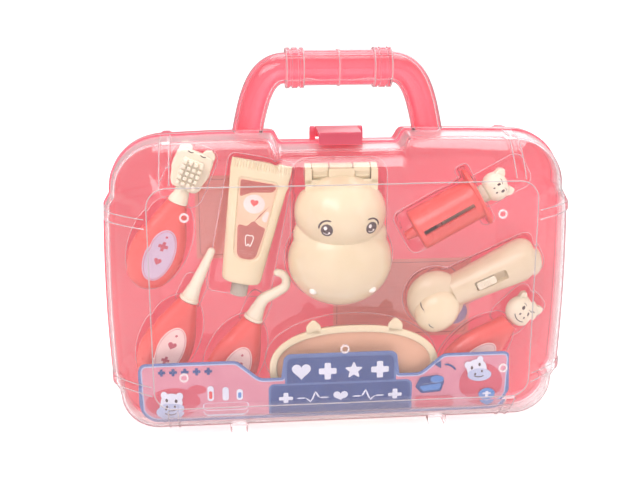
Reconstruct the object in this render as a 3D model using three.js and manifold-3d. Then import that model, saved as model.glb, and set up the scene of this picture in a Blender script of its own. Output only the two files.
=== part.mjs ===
// Toy doctor case: a hinged carry case with a clear cover, and a set of play tools in a formed tray.
// Millimetres. +Z is up, +Y is the back, and the two halves of the case meet on the plane y = 0.
// Heights are measured from the underside of the case's body, above its feet.
// The tools are laid out around the dish and the jaw model, and the case is made to fit around them.
import * as THREE from 'three';
import { mergeVertices } from 'three/addons/utils/BufferGeometryUtils.js';
import Module from 'manifold-3d';

const wasm = await Module();
wasm.setup();
const { lerp, clamp, degToRad } = THREE.MathUtils;

// Clearances
const clearance = 0.3;
const running = 0.15;
const pocketClearance = 0.6;
const overrun = 1;

// Facets of arcs and rounds
const roundSides = 20;
const smallSides = 10;
const handleSides = 14;
const wideSteps = 4;
const mediumSteps = 3;
const smallSteps = 2;
const armSteps = 4;
const tubeSteps = 5;
const hookSteps = 9;
const pickSteps = 4;
const rodSides = 8;

// Tools share one leaf-shaped handle
const toolDepth = 4;
const handleLength = 57;
const handleWidth = 33;
const handleThickness = 18;
const handleRoll = degToRad(14);
const facetShare = 0.78;
const neckRadius = 6;
const collarLength = 9;
const rodRadius = 4;
const rodTipRadius = 2;
const tipRoundShare = 0.55;
const tipLength = 36;
const hookSwing = 10;
const stickerThickness = 0.5;
const stickerHalfWidth = 9;
const stickerHalfLength = 16.5;
const stickerCentreShare = 0.43;

// Toothbrush
const brushHeadHalf = 11.5;
const brushNeckLength = 9;
const brushHeadLength = 25.5;
const brushHeadStart = handleLength + brushNeckLength;
const brushLength = brushHeadStart + brushHeadLength;
const brushHeadThickness = 7;
const brushHeadInset = 2;
const brushNeckShare = 0.7;
const brushTopShare = 0.95;
const bristleHeight = 7;
const bristlePitch = 3.7;
const bristleSide = 2.7;
const bristleColumns = 4;
const bristleRows = 5;

// Thermometer face
const faceRadius = 10;
const faceDepth = 7;

// Toothpaste tube
const tubeCapLength = 9;
const tubeCapRadius = 5.2;
const tubeLength = 83;
const tubeBaseHalf = 12.3;
const tubeTopHalf = 18;
const tubeBaseThickness = 19;
const tubeOvalShare = 0.8;
const tubeShoulderShare = 0.88;
const crimpThickness = 2.4;
const crimpLength = 6;
const windowDepth = 1.4;
const windowLowShare = 0.2;
const windowLowHalfShare = 0.62;
const windowHighHalfShare = 0.68;
const windowRoundShare = 0.8;
const windowMargin = 4.8;

// Syringe
const barrelRadius = 13;
const barrelLength = 41;
const barrelWall = 1.6;
const nozzleLength = 7;
const nozzleRadius = 3.5;
const nozzleBore = 1.6;
const nozzleTaperShare = 0.8;
const wingHalf = 19;
const wingThickness = 2.6;
const slotLength = 34;
const slotWidth = 3;
const plungerBaseShare = 0.28;
const plungerPlateShare = 0.7;
const plungerRadius = 5;
const plungerFlareShare = 1.3;
const pistonThickness = 4;
const plungerTravel = 15;
const plungerHeadHalf = 9;

// Small animal heads
const headDepthShare = 0.8;
const headHeightShare = 0.9;
const headSeatShare = 0.7;
const headEarShare = 0.32;
const faceEarShare = 0.25;
const earThickShare = 0.7;
const earPlaceShare = 0.62;
const earRoundShare = 0.8;
const headRoomShare = 2.6;
const faceRoomShare = 0.8;
const earTilt = degToRad(17);

// Exam light
const lightLength = 70;
const lightStartRadius = 10;
const lightEndRadius = 13;
const lightHeadRadius = 18;
const lightHeadDepth = 10;
const lightCapRadius = 13;
const capTilt = degToRad(-20);
const switchSlotLength = 20;
const switchSlotWidth = 5.5;
const switchLength = 13;
const switchDepth = 3;
const switchRound = 1.2;
const switchStartShare = 0.36;
const switchRise = 0.7;
const bodyStartShare = 0.7;
const bodyEndShares = [[0.93, 0.5], [0.72, 0.18], [0.35, 0]];
const capShares = [1, 0.75, 1.15];
const capPlaceShares = [0.28, 0.55, 0.12];
const nubShares = [0.25, 0.25, 0.33];
const nubPlaceShares = [1.15, 0.6, 0.5];

// Jaw model: a head that hinges at its top over a lower jaw
const muzzleHalf = 31.5;
const muzzleRoom = 11;
const muzzleHalfHeight = 28;
const muzzleDepth = 25;
const browHalf = 27.5;
const browRise = 30;
const browHalfHeight = 24;
const browDepth = 27;
const jawSides = 16;
const jawRows = 8;
const jawWall = 2;
const mouthDepth = 6;
const lowerJawDepth = 18;
const jawKnuckleRadius = 5.5;
const jawPinRadius = 1.5;
const jawRunning = 0.1;
const jawBlockHalf = 21.5;
const jawMiddleHalf = 7;
const jawEndKnuckle = 4;
const bridgeShare = 0.6;
const windowDropShare = 1.6;
const toothCount = 9;
const toothSpacing = degToRad(20);
const toothRadius = 3;
const toothHeight = 5;
const crownShare = 0.8;
const toothPlaceShare = 0.87;
const toothMargin = 1.2;
const gumDepth = 3;
const gumInnerShare = 0.74;

// Dish
const dishHalfWidth = 52;
const dishHalfHeight = 27;
const dishOvalShare = 0.87;
const dishSides = 20;
const dishDepth = 20;
const dishFront = 17;
const dishWall = 1.6;
const dishRim = 3;
const dishSlopeShare = 1.6;
const dishShoulderShare = 0.7;
const dishInnerShare = 0.65;
const dishFloorHalfWidth = 41;
const dishFloorHalfHeight = 18;
const dishEarHalf = 4.5;
const dishEarPlaceShare = 0.48;
const dishEarHeightShare = 0.85;
const dishLabelHalfWidth = 13.5;
const dishLabelHalfHeight = 8.4;
const dishLabelRise = 9;

// Layout of the tools
const jawAcross = 1;
const dishAcross = 9;
const dishLow = 10;
const hookDishRoom = 32;
const hookJawRoom = 7.4;
const hookLow = 13;
const pickRoom = 7.5;
const pickLow = 27.5;
const gaugeRoom = 6;
const gaugeLow = 19;
const lightRoom = 10.5;
const lightLow = 75;
const syringeRoom = 2;
const syringeLow = 119;
const tubeRoom = 0.7;
const tubeLow = 82;
const brushRoom = 12;
const brushLow = 88;

// Room left between the tools and the case
const sideRoom = 6.85;
const topRoom = 5.4;
const frontRoom = 7;

// Case
const shellWall = 2;
const flangeDepth = 3;
const flangeStep = 1.2;
const wallDepth = 16;
const draftShare = 0.04;
const shoulderBendShare = 1.5;
const shoulderShares = [0.35, 0.7, 1];
const panelSideInset = 29;
const panelEndInset = 25;
const topCornerRadius = 32;
const bottomCornerRadius = 24;
const panelCornerRadius = 11;
const sideBulge = 1.5;
const guardStep = 5;
const guardRise = 6;
const guardLow = 32;
const guardDrop = 41;
const recessTopHalf = 38;
const recessFloorHalf = 34.5;
const recessDepth = 7;
const recessFillet = 3;
const crown = 2.5;
const crownRun = 40;
const crownMiddleShare = 0.2;
const strapWidth = 5.5;
const strapHeight = 0.8;
const strapInset = 4;
const strapEndInset = 10;

// Carry handle, half of it on each shell
const gripHeight = 38;
const armBaseHalf = 53.5;
const armHalfWidth = 9;
const armRiseShare = 0.62;
const gripRadius = 10.3;
const collarRadius = 11.8;
const collarInner = 20;
const collarWidth = 11;

// Feet and hinges
const footHeight = 5;
const footWidth = 10;
const footStart = 5;
const footEnd = 15.5;
const coverFootAcross = 62;
const rearFootAcross = 78;
const hingeBarRadius = 1.1;
const clipWidth = 8;
const lugWidth = 3;

// Latch
const latchWidth = 25;
const latchPivotDepth = 9.5;
const latchReach = 14;
const latchThickness = 2;
const latchLip = 3;
const latchFillet = 2;
const snapShare = 0.75;

// Tray, printed card and leaflets
const sheetThickness = 1;
const sheetDepth = 1;
const ledgeWidth = 4;
const ledgeReach = 7;
const ledgeHeightShares = [0.22, 0.72];
const ledgeAcrossShare = 0.36;
const cardThickness = 0.5;
const cardRoom = 5;
const cardMargin = 1;
const cardLeftRoom = 10;
const cardRightRoom = 26.5;
const cardWingHeight = 46;
const cardValleyHeight = 34;
const cardPlateHeight = 49;
const cardPlateHalf = 35;
const cardRadius = 14;
const paperThickness = 0.4;
const leftLeafletShares = { across: [-0.775, -0.45], up: [0.508, 0.917] };
const rightLeafletShares = { across: [0.018, 0.838], up: [0.068, 0.477] };

// Where each tool lies: its lower end in the XZ plane and how far it leans to the right.
// The jaw is above the dish in the middle, and the others are set beside them.
const jawPlace = { x: jawAcross, z: 0, lean: 0 };
const dishPlace = { x: dishAcross, z: dishLow + dishHalfHeight, lean: 0 };
const muzzleHeight = dishPlace.z + dishHalfHeight + muzzleRoom + muzzleHalfHeight;
const browHeight = muzzleHeight + browRise;
const jawHingeHeight = browHeight + browHalfHeight;
const hookLean = degToRad(23.5);
const hookPlace = {
  x: Math.min(
    dishAcross - dishHalfWidth - hookDishRoom,
    jawAcross - muzzleHalf - hookJawRoom - (handleLength + tipLength) * Math.sin(hookLean),
  ),
  z: hookLow,
  lean: hookLean,
};
const pickPlace = { x: hookPlace.x - handleWidth - pickRoom, z: pickLow, lean: degToRad(25.5) };
const gaugePlace = { x: dishAcross + dishHalfWidth + gaugeRoom, z: gaugeLow, lean: degToRad(46.4) };
const lightPlace = {
  x: jawAcross + muzzleHalf + lightHeadRadius + lightRoom, z: lightLow, lean: degToRad(65.7),
};
const syringePlace = {
  x: jawAcross + muzzleHalf + barrelRadius + syringeRoom, z: syringeLow, lean: degToRad(61),
};
const tubeLean = degToRad(11);
const tubePlace = {
  x: jawAcross - browHalf - tubeRoom - tubeTopHalf * Math.cos(tubeLean) - tubeLength * Math.sin(tubeLean),
  z: tubeLow,
  lean: tubeLean,
};
const brushPlace = {
  x: tubePlace.x - tubeBaseHalf - handleWidth - brushRoom, z: brushLow, lean: degToRad(23.3),
};

// How far a tool's far end reaches sideways and upwards, from its length and half width
const reachAcross = ({ x, lean }, length, half) => x + length * Math.sin(lean) + half * Math.cos(lean);
const reachUp = ({ z, lean }, length, half) => z + length * Math.cos(lean) + half * Math.sin(lean);

// Case, fitted around the tools
const headReach = barrelLength + wingThickness + plungerTravel + 2 * plungerHeadHalf;
const contentsHalf = Math.max(
  (handleWidth / 2) * Math.cos(brushPlace.lean) - brushPlace.x,
  (handleWidth / 2) * Math.cos(pickPlace.lean) - pickPlace.x,
  reachAcross(lightPlace, lightLength, lightEndRadius),
  reachAcross(gaugePlace, handleLength + 2 * faceRadius, faceRadius),
  reachAcross(syringePlace, headReach, plungerHeadHalf),
);
const contentsTop = Math.max(
  reachUp(brushPlace, brushLength, brushHeadHalf),
  reachUp(tubePlace, tubeLength, tubeTopHalf),
  reachUp(syringePlace, barrelLength, wingHalf),
  jawHingeHeight + jawKnuckleRadius,
);
const caseWidth = 2 * (contentsHalf + sideRoom);
const bodyHeight = contentsTop + topRoom;
const halfDepth = mouthDepth + browDepth + frontRoom + shellWall;
const guardHigh = bodyHeight - guardDrop;
const wallMiddle = flangeStep + shellWall / 2;
const strapAcross = caseWidth / 2 - panelSideInset - strapEndInset;
const hingeHeight = -(footHeight + clearance) / 2;
const knuckleRadius = -hingeHeight - clearance;
const recessFloor = bodyHeight - recessDepth;
const latchRadius = (recessDepth - clearance) / 2;
const latchPivotHeight = recessFloor + clearance + latchRadius;
const cardDepth = dishFront + cardRoom;

const colours = {
  shellPink: 0xf58a98, clear: 0xf7e9ec, coral: 0xee6a62, cream: 0xf3e6cf, white: 0xf4efe6,
  slate: 0x6f86b8, lilac: 0xcbb7cf, blush: 0xf0cfc8, brown: 0xb5685f, salmon: 0xe9b3a6,
  grey: 0xb9b2a6, steel: 0xc4c6ca, enamel: 0xffffff,
};

function material(colour, roughness, metalness = 0) {
  return new THREE.MeshStandardMaterial({ color: colours[colour], roughness, metalness });
}

// Solids

function signedVolume(geometry) {
  const place = geometry.attributes.position;
  const index = geometry.index;
  const corner = [new THREE.Vector3(), new THREE.Vector3(), new THREE.Vector3()];
  let volume = 0;
  for (let i = 0; i < index.count; i += 3) {
    corner.forEach((point, k) => point.fromBufferAttribute(place, index.getX(i + k)));
    volume += corner[0].dot(corner[1].clone().cross(corner[2])) / 6;
  }
  return volume;
}

// One closed skin with shared vertices and its faces pointing out
function closed(geometry) {
  const bare = geometry.clone();
  bare.deleteAttribute('normal');
  bare.deleteAttribute('uv');
  const merged = mergeVertices(bare);
  const inward = signedVolume(merged) < 0;
  const faces = [];
  for (let i = 0; i < merged.index.count; i += 3) {
    const [a, b, c] = merged.index.array.slice(i, i + 3);
    if (a !== b && b !== c && c !== a) faces.push(a, inward ? c : b, inward ? b : c);
  }
  merged.setIndex(faces);
  return merged;
}

function toSolid(geometry) {
  const skin = closed(geometry);
  return new wasm.Manifold(new wasm.Mesh({
    numProp: 3,
    vertProperties: new Float32Array(skin.attributes.position.array),
    triVerts: new Uint32Array(skin.index.array),
  }));
}

function toGeometry(solid) {
  const mesh = solid.getMesh();
  const geometry = new THREE.BufferGeometry();
  geometry.setAttribute('position', new THREE.BufferAttribute(new Float32Array(mesh.vertProperties), 3));
  geometry.setIndex(new THREE.BufferAttribute(new Uint32Array(mesh.triVerts), 1));
  return geometry;
}

function join(...parts) {
  return toGeometry(parts.map(toSolid).reduce((all, part) => all.add(part)));
}

function cut(body, ...tools) {
  return toGeometry(tools.map(toSolid).reduce((rest, tool) => rest.subtract(tool), toSolid(body)));
}

function common(a, b) {
  return toGeometry(toSolid(a).intersect(toSolid(b)));
}

// Skin through rings of as many points each, closed at both ends by faces that meet in the middle
function loft(rings) {
  const count = rings[0].length;
  const first = rings.length * count;
  const faces = [];
  for (let i = 0; i < count; i++) {
    const next = (i + 1) % count;
    for (let start = 0; start < first - count; start += count) {
      faces.push(start + i, start + next, start + count + i);
      faces.push(start + next, start + count + next, start + count + i);
    }
    faces.push(first, next, i, first + 1, first - count + i, first - count + next);
  }
  const middles = [rings[0], rings.at(-1)].map((ring) => (
    ring.reduce((sum, point) => sum.add(point), new THREE.Vector3()).divideScalar(count)));
  const geometry = new THREE.BufferGeometry();
  const positions = [...rings.flat(), ...middles].flatMap((point) => point.toArray());
  geometry.setAttribute('position', new THREE.Float32BufferAttribute(positions, 3));
  geometry.setIndex(faces);
  return closed(geometry);
}

function box(x0, x1, y0, y1, z0, z1) {
  const geometry = new THREE.BoxGeometry(Math.abs(x1 - x0), Math.abs(y1 - y0), Math.abs(z1 - z0));
  return geometry.translate((x0 + x1) / 2, (y0 + y1) / 2, (z0 + z1) / 2);
}

// Round bar along X between two ends
function barAlongX(radius, x0, x1, y, z, sides = smallSides) {
  const geometry = new THREE.CylinderGeometry(radius, radius, Math.abs(x1 - x0), sides);
  return geometry.rotateZ(Math.PI / 2).translate((x0 + x1) / 2, y, z);
}

// Plate with its outline in the XZ plane, between two depths
function plate(outline, y0, y1) {
  const shape = new THREE.Shape(outline);
  const geometry = new THREE.ExtrudeGeometry(shape, { depth: Math.abs(y1 - y0), bevelEnabled: false });
  return geometry.rotateX(Math.PI / 2).translate(0, Math.max(y0, y1), 0);
}

// Bar along X with its outline [y, z, radius, steps] in the YZ plane
function profile(corners, x0, x1) {
  const shape = new THREE.Shape(rounded(corners));
  const geometry = new THREE.ExtrudeGeometry(shape, { depth: x1 - x0, bevelEnabled: false });
  const turn = new THREE.Matrix4().makeBasis(
    new THREE.Vector3(0, 1, 0), new THREE.Vector3(0, 0, 1), new THREE.Vector3(1, 0, 0),
  );
  return geometry.applyMatrix4(turn).translate(x0, 0, 0);
}

// Solid of revolution about Z from [radius, height] pairs that start and end on the axis
function turned(outline, sides = roundSides) {
  const points = outline.map(([radius, height]) => new THREE.Vector2(radius, height));
  return new THREE.LatheGeometry(points, sides).rotateX(Math.PI / 2);
}

function disc(radius, z0, z1, sides = roundSides) {
  return turned([[0, z0], [radius, z0], [radius, z1], [0, z1]], sides);
}

function ellipsoid(halfX, halfY, halfZ, sides = smallSides, rows = smallSides / 2) {
  return new THREE.SphereGeometry(1, sides, rows).rotateX(Math.PI / 2).scale(halfX, halfY, halfZ);
}

// Outlines in the XZ plane

// Ellipse, or with an oval share below 1 an oval with fuller shoulders
function oval(halfX, halfZ, sides = handleSides, ovalShare = 1) {
  const swell = (value) => Math.sign(value) * Math.abs(value) ** ovalShare;
  return Array.from({ length: sides }, (_, i) => {
    const angle = (i / sides) * 2 * Math.PI;
    return new THREE.Vector2(halfX * swell(Math.cos(angle)), halfZ * swell(Math.sin(angle)));
  });
}

// Oval whose straight sides stay outside the ellipse of these halves
function ovalAround(halfX, halfZ, sides = smallSides, ovalShare = 1) {
  const grow = 1 / Math.cos(Math.PI / sides);
  return oval(halfX * grow, halfZ * grow, sides, ovalShare);
}

// Outline from corners [x, z, radius, steps], each rounded by an arc where it has a radius
function rounded(corners) {
  return corners.flatMap(([x, z, radius = 0, steps = mediumSteps], i) => {
    const corner = new THREE.Vector2(x, z);
    if (radius <= 0) return [corner];
    const before = new THREE.Vector2(...corners.at(i - 1)).sub(corner).normalize();
    const after = new THREE.Vector2(...corners[(i + 1) % corners.length]).sub(corner).normalize();
    const half = Math.acos(clamp(before.dot(after), -1, 1)) / 2;
    const bisector = before.clone().add(after).normalize();
    const centre = corner.clone().addScaledVector(bisector, radius / Math.sin(half));
    const start = corner.clone().addScaledVector(before, radius / Math.tan(half)).sub(centre);
    const end = corner.clone().addScaledVector(after, radius / Math.tan(half)).sub(centre);
    const sweep = Math.atan2(start.cross(end), start.dot(end));
    return Array.from({ length: steps + 1 }, (_, k) => {
      const angle = start.angle() + (sweep * k) / steps;
      return new THREE.Vector2(Math.cos(angle), Math.sin(angle)).multiplyScalar(radius).add(centre);
    });
  });
}

function slab(halfX, halfZ, radius, steps = 1) {
  return rounded([
    [halfX, -halfZ, radius, steps], [halfX, halfZ, radius, steps],
    [-halfX, halfZ, radius, steps], [-halfX, -halfZ, radius, steps],
  ]);
}

function mirrored(half) {
  return [...half, ...half.map(({ x, y }) => new THREE.Vector2(-x, y)).reverse()];
}

function atDepth(outline, y) {
  return outline.map((point) => new THREE.Vector3(point.x, y, point.y));
}

function atHeight(outline, z) {
  return outline.map((point) => new THREE.Vector3(point.x, point.y, z));
}

// Case shells

// Outline of the case, share 0 at its rim and 1 at its flat panel, moved inwards by an offset
function caseOutline(share, offset) {
  const relief = 1 - share;
  const halfWidth = caseWidth / 2 - panelSideInset * share - offset;
  const cornerHalf = halfWidth - guardStep * relief;
  const bottom = panelEndInset * share + offset;
  const top = bodyHeight - panelEndInset * share - offset;
  const lowRadius = lerp(bottomCornerRadius, panelCornerRadius, share) - offset;
  const highRadius = lerp(topCornerRadius, panelCornerRadius, share) - offset;
  const lowStep = bottom + lowRadius + guardLow - guardRise - bottomCornerRadius;
  const cornerTop = top - crown * relief;
  const highStep = cornerTop - highRadius - (guardDrop - crown - topCornerRadius - guardRise);
  const sideLow = lowStep + guardRise;
  const sideHigh = highStep - guardRise;
  const sidePoints = [0, 0.5, 1].map((way) => [
    halfWidth - sideBulge * relief * (2 * way - 1) ** 2,
    lerp(sideLow, sideHigh, way),
  ]);
  return mirrored(rounded([
    [0, bottom],
    [cornerHalf, bottom, lowRadius, mediumSteps],
    [cornerHalf, lowStep],
    ...sidePoints,
    [cornerHalf, highStep],
    [cornerHalf, cornerTop, highRadius, wideSteps],
    [recessTopHalf + crownRun, top - crown * crownMiddleShare * relief],
    [recessTopHalf + offset, top, recessFillet, 1],
    [recessFloorHalf + offset, top - recessDepth * relief, recessFillet, 1],
    [0, top - recessDepth * relief],
  ]).slice(1, -1));
}

// Depth, share and flange step of each ring of a shell
const shellStations = [
  { depth: 0, share: 0, step: 0 },
  { depth: flangeDepth, share: 0, step: 0 },
  { depth: flangeDepth, share: 0, step: flangeStep },
  { depth: wallDepth, share: draftShare, step: flangeStep },
  ...shoulderShares.map((way) => ({
    depth: lerp(wallDepth, halfDepth, way),
    share: lerp(draftShare, 1, way ** shoulderBendShare),
    step: flangeStep * (1 - way),
  })),
];
const behindFlange = shellStations.slice(2);

// Share of the case's outline at a depth behind the flange
function shareAt(depth) {
  const next = behindFlange.findIndex((station) => station.depth >= depth);
  const [low, high] = [behindFlange[next - 1], behindFlange[next]];
  return lerp(low.share, high.share, (depth - low.depth) / (high.depth - low.depth));
}

function shellSkin(side, stations, offset) {
  return loft(stations.map(({ depth, share, step }) => (
    atDepth(caseOutline(share, step + offset), side * depth))));
}

function shellHollow(side) {
  const mouth = [-overrun, flangeDepth].map((depth) => ({ depth, share: 0, step: flangeStep }));
  const inner = behindFlange.slice(1).map(({ depth, share, step }) => ({
    depth: (depth * (halfDepth - shellWall)) / halfDepth, share, step,
  }));
  return shellSkin(side, [...mouth, ...inner], shellWall);
}

// Raised straps that run from the flange to the panel and frame the corners
function shellStraps(side) {
  const half = strapWidth / 2;
  const near = side * flangeDepth;
  const far = side * halfDepth;
  const heights = [guardLow + strapInset, guardHigh - strapInset];
  const ends = [[-overrun, panelEndInset], [bodyHeight - panelEndInset, bodyHeight + overrun]];
  const panelHalf = caseWidth / 2 - panelSideInset;
  const outside = caseWidth / 2 + overrun;
  const strips = [-1, 1].flatMap((hand) => [
    ...heights.map((z) => box(hand * panelHalf, hand * outside, near, far, z - half, z + half)),
    ...ends.map(([low, high]) => (
      box(hand * strapAcross - half, hand * strapAcross + half, near, far, low, high))),
  ]);
  return common(shellSkin(side, behindFlange, -strapHeight), join(...strips));
}

// Places along the handle's centre line, from the left base over the grip to the right base
function handleStations(armRadius, gripStations) {
  const base = new THREE.Vector2(-armBaseHalf, 0);
  const rise = new THREE.Vector2(-armBaseHalf + armHalfWidth / 2, gripHeight * armRiseShare);
  const bend = new THREE.Vector2(-armBaseHalf + armHalfWidth, gripHeight);
  const shoulder = new THREE.Vector2(-collarInner - collarWidth, gripHeight);
  const arm = new THREE.CubicBezierCurve(base, rise, bend, shoulder);
  const leftSide = Array.from({ length: armSteps + 1 }, (_, k) => ({
    point: arm.getPoint(k / armSteps), heading: arm.getTangent(k / armSteps), radius: armRadius,
  }));
  leftSide.push(...gripStations.map(([x, radius]) => ({
    point: new THREE.Vector2(x, gripHeight), heading: new THREE.Vector2(1, 0), radius,
  })));
  const rightSide = leftSide.map(({ point, heading, radius }) => ({
    point: new THREE.Vector2(-point.x, point.y),
    heading: new THREE.Vector2(heading.x, -heading.y),
    radius,
  })).reverse();
  return [...leftSide, ...rightSide];
}

// Half tube on one side of the parting plane, with its flat side at a given depth
function halfTube(side, stations, flatDepth, lift) {
  return loft(stations.map(({ point, heading, radius }) => {
    const across = new THREE.Vector2(-heading.y, heading.x);
    const base = bodyHeight + lift + point.y;
    return Array.from({ length: tubeSteps + 1 }, (_, k) => {
      const angle = (k / tubeSteps) * Math.PI;
      const spread = radius * Math.cos(angle);
      const depth = k === 0 || k === tubeSteps ? flatDepth : radius * Math.sin(angle);
      return new THREE.Vector3(point.x + across.x * spread, side * depth, base + across.y * spread);
    });
  }));
}

function handleOutside(side) {
  const collarEnd = -collarInner - collarWidth;
  const grip = [[collarEnd, collarRadius], [-collarInner, collarRadius], [-collarInner, gripRadius]];
  return halfTube(side, handleStations(armHalfWidth, grip), 0, -wallMiddle);
}

function handleHollow(side) {
  return halfTube(side, handleStations(armHalfWidth - shellWall, []), -overrun, 0);
}

function foot(side, across) {
  const half = footWidth / 2;
  const shape = rounded([
    [across - half, -footHeight, shellWall / 2, smallSteps],
    [across + half, -footHeight, shellWall / 2, smallSteps],
    [across + half + shellWall / 2, wallMiddle],
    [across - half - shellWall / 2, wallMiddle],
  ]);
  return plate(shape, side * footStart, side * footEnd);
}

// Lugs and bar that the cover's clip turns on
function rearHinge(across) {
  const inner = clipWidth / 2 + clearance;
  const outer = inner + lugWidth;
  const back = footStart - clearance;
  const lugs = [-1, 1].flatMap((hand) => [
    barAlongX(knuckleRadius, across + hand * inner, across + hand * outer, 0, hingeHeight),
    box(across + hand * inner, across + hand * outer, clearance, back, hingeHeight, wallMiddle),
  ]);
  return join(barAlongX(hingeBarRadius, across - outer, across + outer, 0, hingeHeight), ...lugs);
}

// Bore and mouth with which a knuckle snaps over a bar, its mouth opening downwards
function snapBore(x0, x1, y, z, drop) {
  const half = hingeBarRadius * snapShare;
  return join(
    barAlongX(hingeBarRadius + running, x0 - overrun, x1 + overrun, y, z),
    box(x0 - overrun, x1 + overrun, y - half, y + half, z - drop, z),
  );
}

// Open clip on the cover that snaps over the bar
function coverClip(across) {
  const left = across - clipWidth / 2;
  const right = across + clipWidth / 2;
  const web = box(left, right, -footStart - overrun, -hingeBarRadius, hingeHeight, wallMiddle);
  const barrel = barAlongX(knuckleRadius, left, right, 0, hingeHeight);
  return cut(join(web, barrel), snapBore(left, right, 0, hingeHeight, footHeight));
}

function latchLugs() {
  const inner = latchWidth / 2 + clearance;
  const outer = inner + lugWidth;
  const front = latchPivotDepth - latchRadius;
  const back = latchPivotDepth + latchRadius;
  const lugs = [-1, 1].flatMap((hand) => [
    barAlongX(latchRadius, hand * inner, hand * outer, latchPivotDepth, latchPivotHeight),
    box(hand * inner, hand * outer, front, back, recessFloor - wallMiddle, latchPivotHeight),
  ]);
  return join(barAlongX(hingeBarRadius, -outer, outer, latchPivotDepth, latchPivotHeight), ...lugs);
}

// Ribs inside the rear shell that the tray's edge lies on
function trayLedges(skin) {
  const half = ledgeWidth / 2;
  const front = sheetDepth + sheetThickness + clearance;
  const back = halfDepth - shellWall;
  const reach = flangeStep + shellWall + ledgeReach;
  const ends = [[0, reach], [bodyHeight - reach, bodyHeight]];
  const ribs = [-1, 1].flatMap((hand) => {
    const side = (hand * caseWidth) / 2;
    const x = side * ledgeAcrossShare;
    return [
      ...ledgeHeightShares.map((share) => share * bodyHeight).map((z) => (
        box(side - hand * reach, side, front, back, z - half, z + half))),
      ...ends.map(([low, high]) => box(x - half, x + half, front, back, low, high)),
    ];
  });
  return common(skin, join(...ribs));
}

function shellHalf(side, extras) {
  const skin = shellSkin(side, shellStations, 0);
  const outside = join(skin, shellStraps(side), handleOutside(side), ...extras);
  return cut(outside, shellHollow(side), handleHollow(side));
}

function rearShell() {
  const extras = [-1, 1].flatMap((hand) => [
    foot(1, hand * rearFootAcross),
    rearHinge(hand * coverFootAcross),
  ]);
  const shell = shellHalf(1, [...extras, latchLugs()]);
  return join(shell, trayLedges(shellSkin(1, behindFlange, shellWall / 2)));
}

function frontCover() {
  const extras = [-1, 1].flatMap((hand) => [
    foot(-1, hand * coverFootAcross),
    coverClip(hand * coverFootAcross),
  ]);
  return shellHalf(-1, extras);
}

// Clasp over the top joint of the case: a hollow cap on a round pivot, with a finger lip in front
function latch() {
  const half = latchWidth / 2;
  const bottom = recessFloor + clearance;
  const nose = -latchReach;
  const inside = bodyHeight - latchThickness;
  const cap = profile([
    [latchPivotDepth, bodyHeight],
    [nose, bodyHeight, latchFillet, mediumSteps],
    [nose - latchLip / 2, bottom + latchLip],
    [nose - latchLip, bottom],
    [nose, bottom],
    [nose + latchThickness, inside, latchThickness / 2, smallSteps],
    [latchPivotDepth - latchRadius, inside],
    [latchPivotDepth, latchPivotHeight],
  ], -half, half);
  const knuckle = barAlongX(latchRadius, -half, half, latchPivotDepth, latchPivotHeight);
  return cut(join(cap, knuckle), snapBore(-half, half, latchPivotDepth, latchPivotHeight, recessDepth));
}

// Shared tool forms

// Place along the leaf handle, half width and half thickness, all as shares of the handle's own
const leafShares = [
  [0, 0.22, 0.3], [0.06, 0.55, 0.62], [0.18, 0.84, 0.86], [0.34, 0.99, 1], [0.5, 0.97, 1],
  [0.66, 0.83, 0.93], [0.82, 0.6, 0.8],
  [1, neckRadius / (handleWidth / 2), neckRadius / (handleThickness / 2)],
];

function leafHandle() {
  const facet = (facetShare * handleThickness) / 2;
  const rings = leafShares.map(([way, wide, thick]) => (
    oval((wide * handleWidth) / 2, (thick * handleThickness) / 2).map(({ x, y }) => (
      new THREE.Vector3(x, Math.max(y, -facet), way * handleLength)))));
  return loft(rings).rotateZ(handleRoll);
}

function sticker(halfWidth, halfLength, y, z) {
  return plate(oval(halfWidth, halfLength, smallSides), y - stickerThickness, y).translate(0, 0, z);
}

function handleSticker() {
  const facet = -(facetShare * handleThickness) / 2 - clearance;
  const height = handleLength * stickerCentreShare;
  return sticker(stickerHalfWidth, stickerHalfLength, facet, height).rotateZ(handleRoll);
}

const handleEnd = handleLength + clearance;

function collar() {
  return turned([
    [0, handleEnd], [neckRadius, handleEnd], [neckRadius, handleEnd + rodTipRadius],
    [rodRadius, handleEnd + collarLength], [0, handleEnd + collarLength],
  ]);
}

// Tapered round rod along a curve in the tool's XZ plane
function taperedRod(curve, startRadius, endRadius, steps) {
  const rings = Array.from({ length: steps + 1 }, (_, k) => {
    const way = k / steps;
    const centre = curve.getPoint(way);
    const heading = curve.getTangent(way);
    const across = new THREE.Vector3(heading.z, 0, -heading.x);
    const radius = lerp(startRadius, endRadius, way) * (k === steps ? tipRoundShare : 1);
    return oval(radius, radius, rodSides).map(({ x, y }) => (
      centre.clone().addScaledVector(across, x).add(new THREE.Vector3(0, y, 0))));
  });
  return loft(rings);
}

function rodPoint(across, along) {
  return new THREE.Vector3(across, 0, handleEnd + along);
}

function pickTip() {
  const line = new THREE.LineCurve3(rodPoint(0, collarLength - overrun), rodPoint(0, tipLength));
  return join(collar(), taperedRod(line, rodRadius, rodTipRadius, pickSteps));
}

// The rod swings out, turns up and curls back at its tip, in shares of its swing and its length
const hookShares = [[0.1, 0.4], [0.6, 0.58], [1, 0.76], [0.6, 0.92], [0, 0.9]];

function hookTip() {
  const curve = new THREE.CatmullRomCurve3([
    rodPoint(0, collarLength - overrun),
    ...hookShares.map(([across, along]) => rodPoint(hookSwing * across, tipLength * along)),
  ]);
  return join(collar(), taperedRod(curve, rodRadius, rodTipRadius, hookSteps));
}

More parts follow.
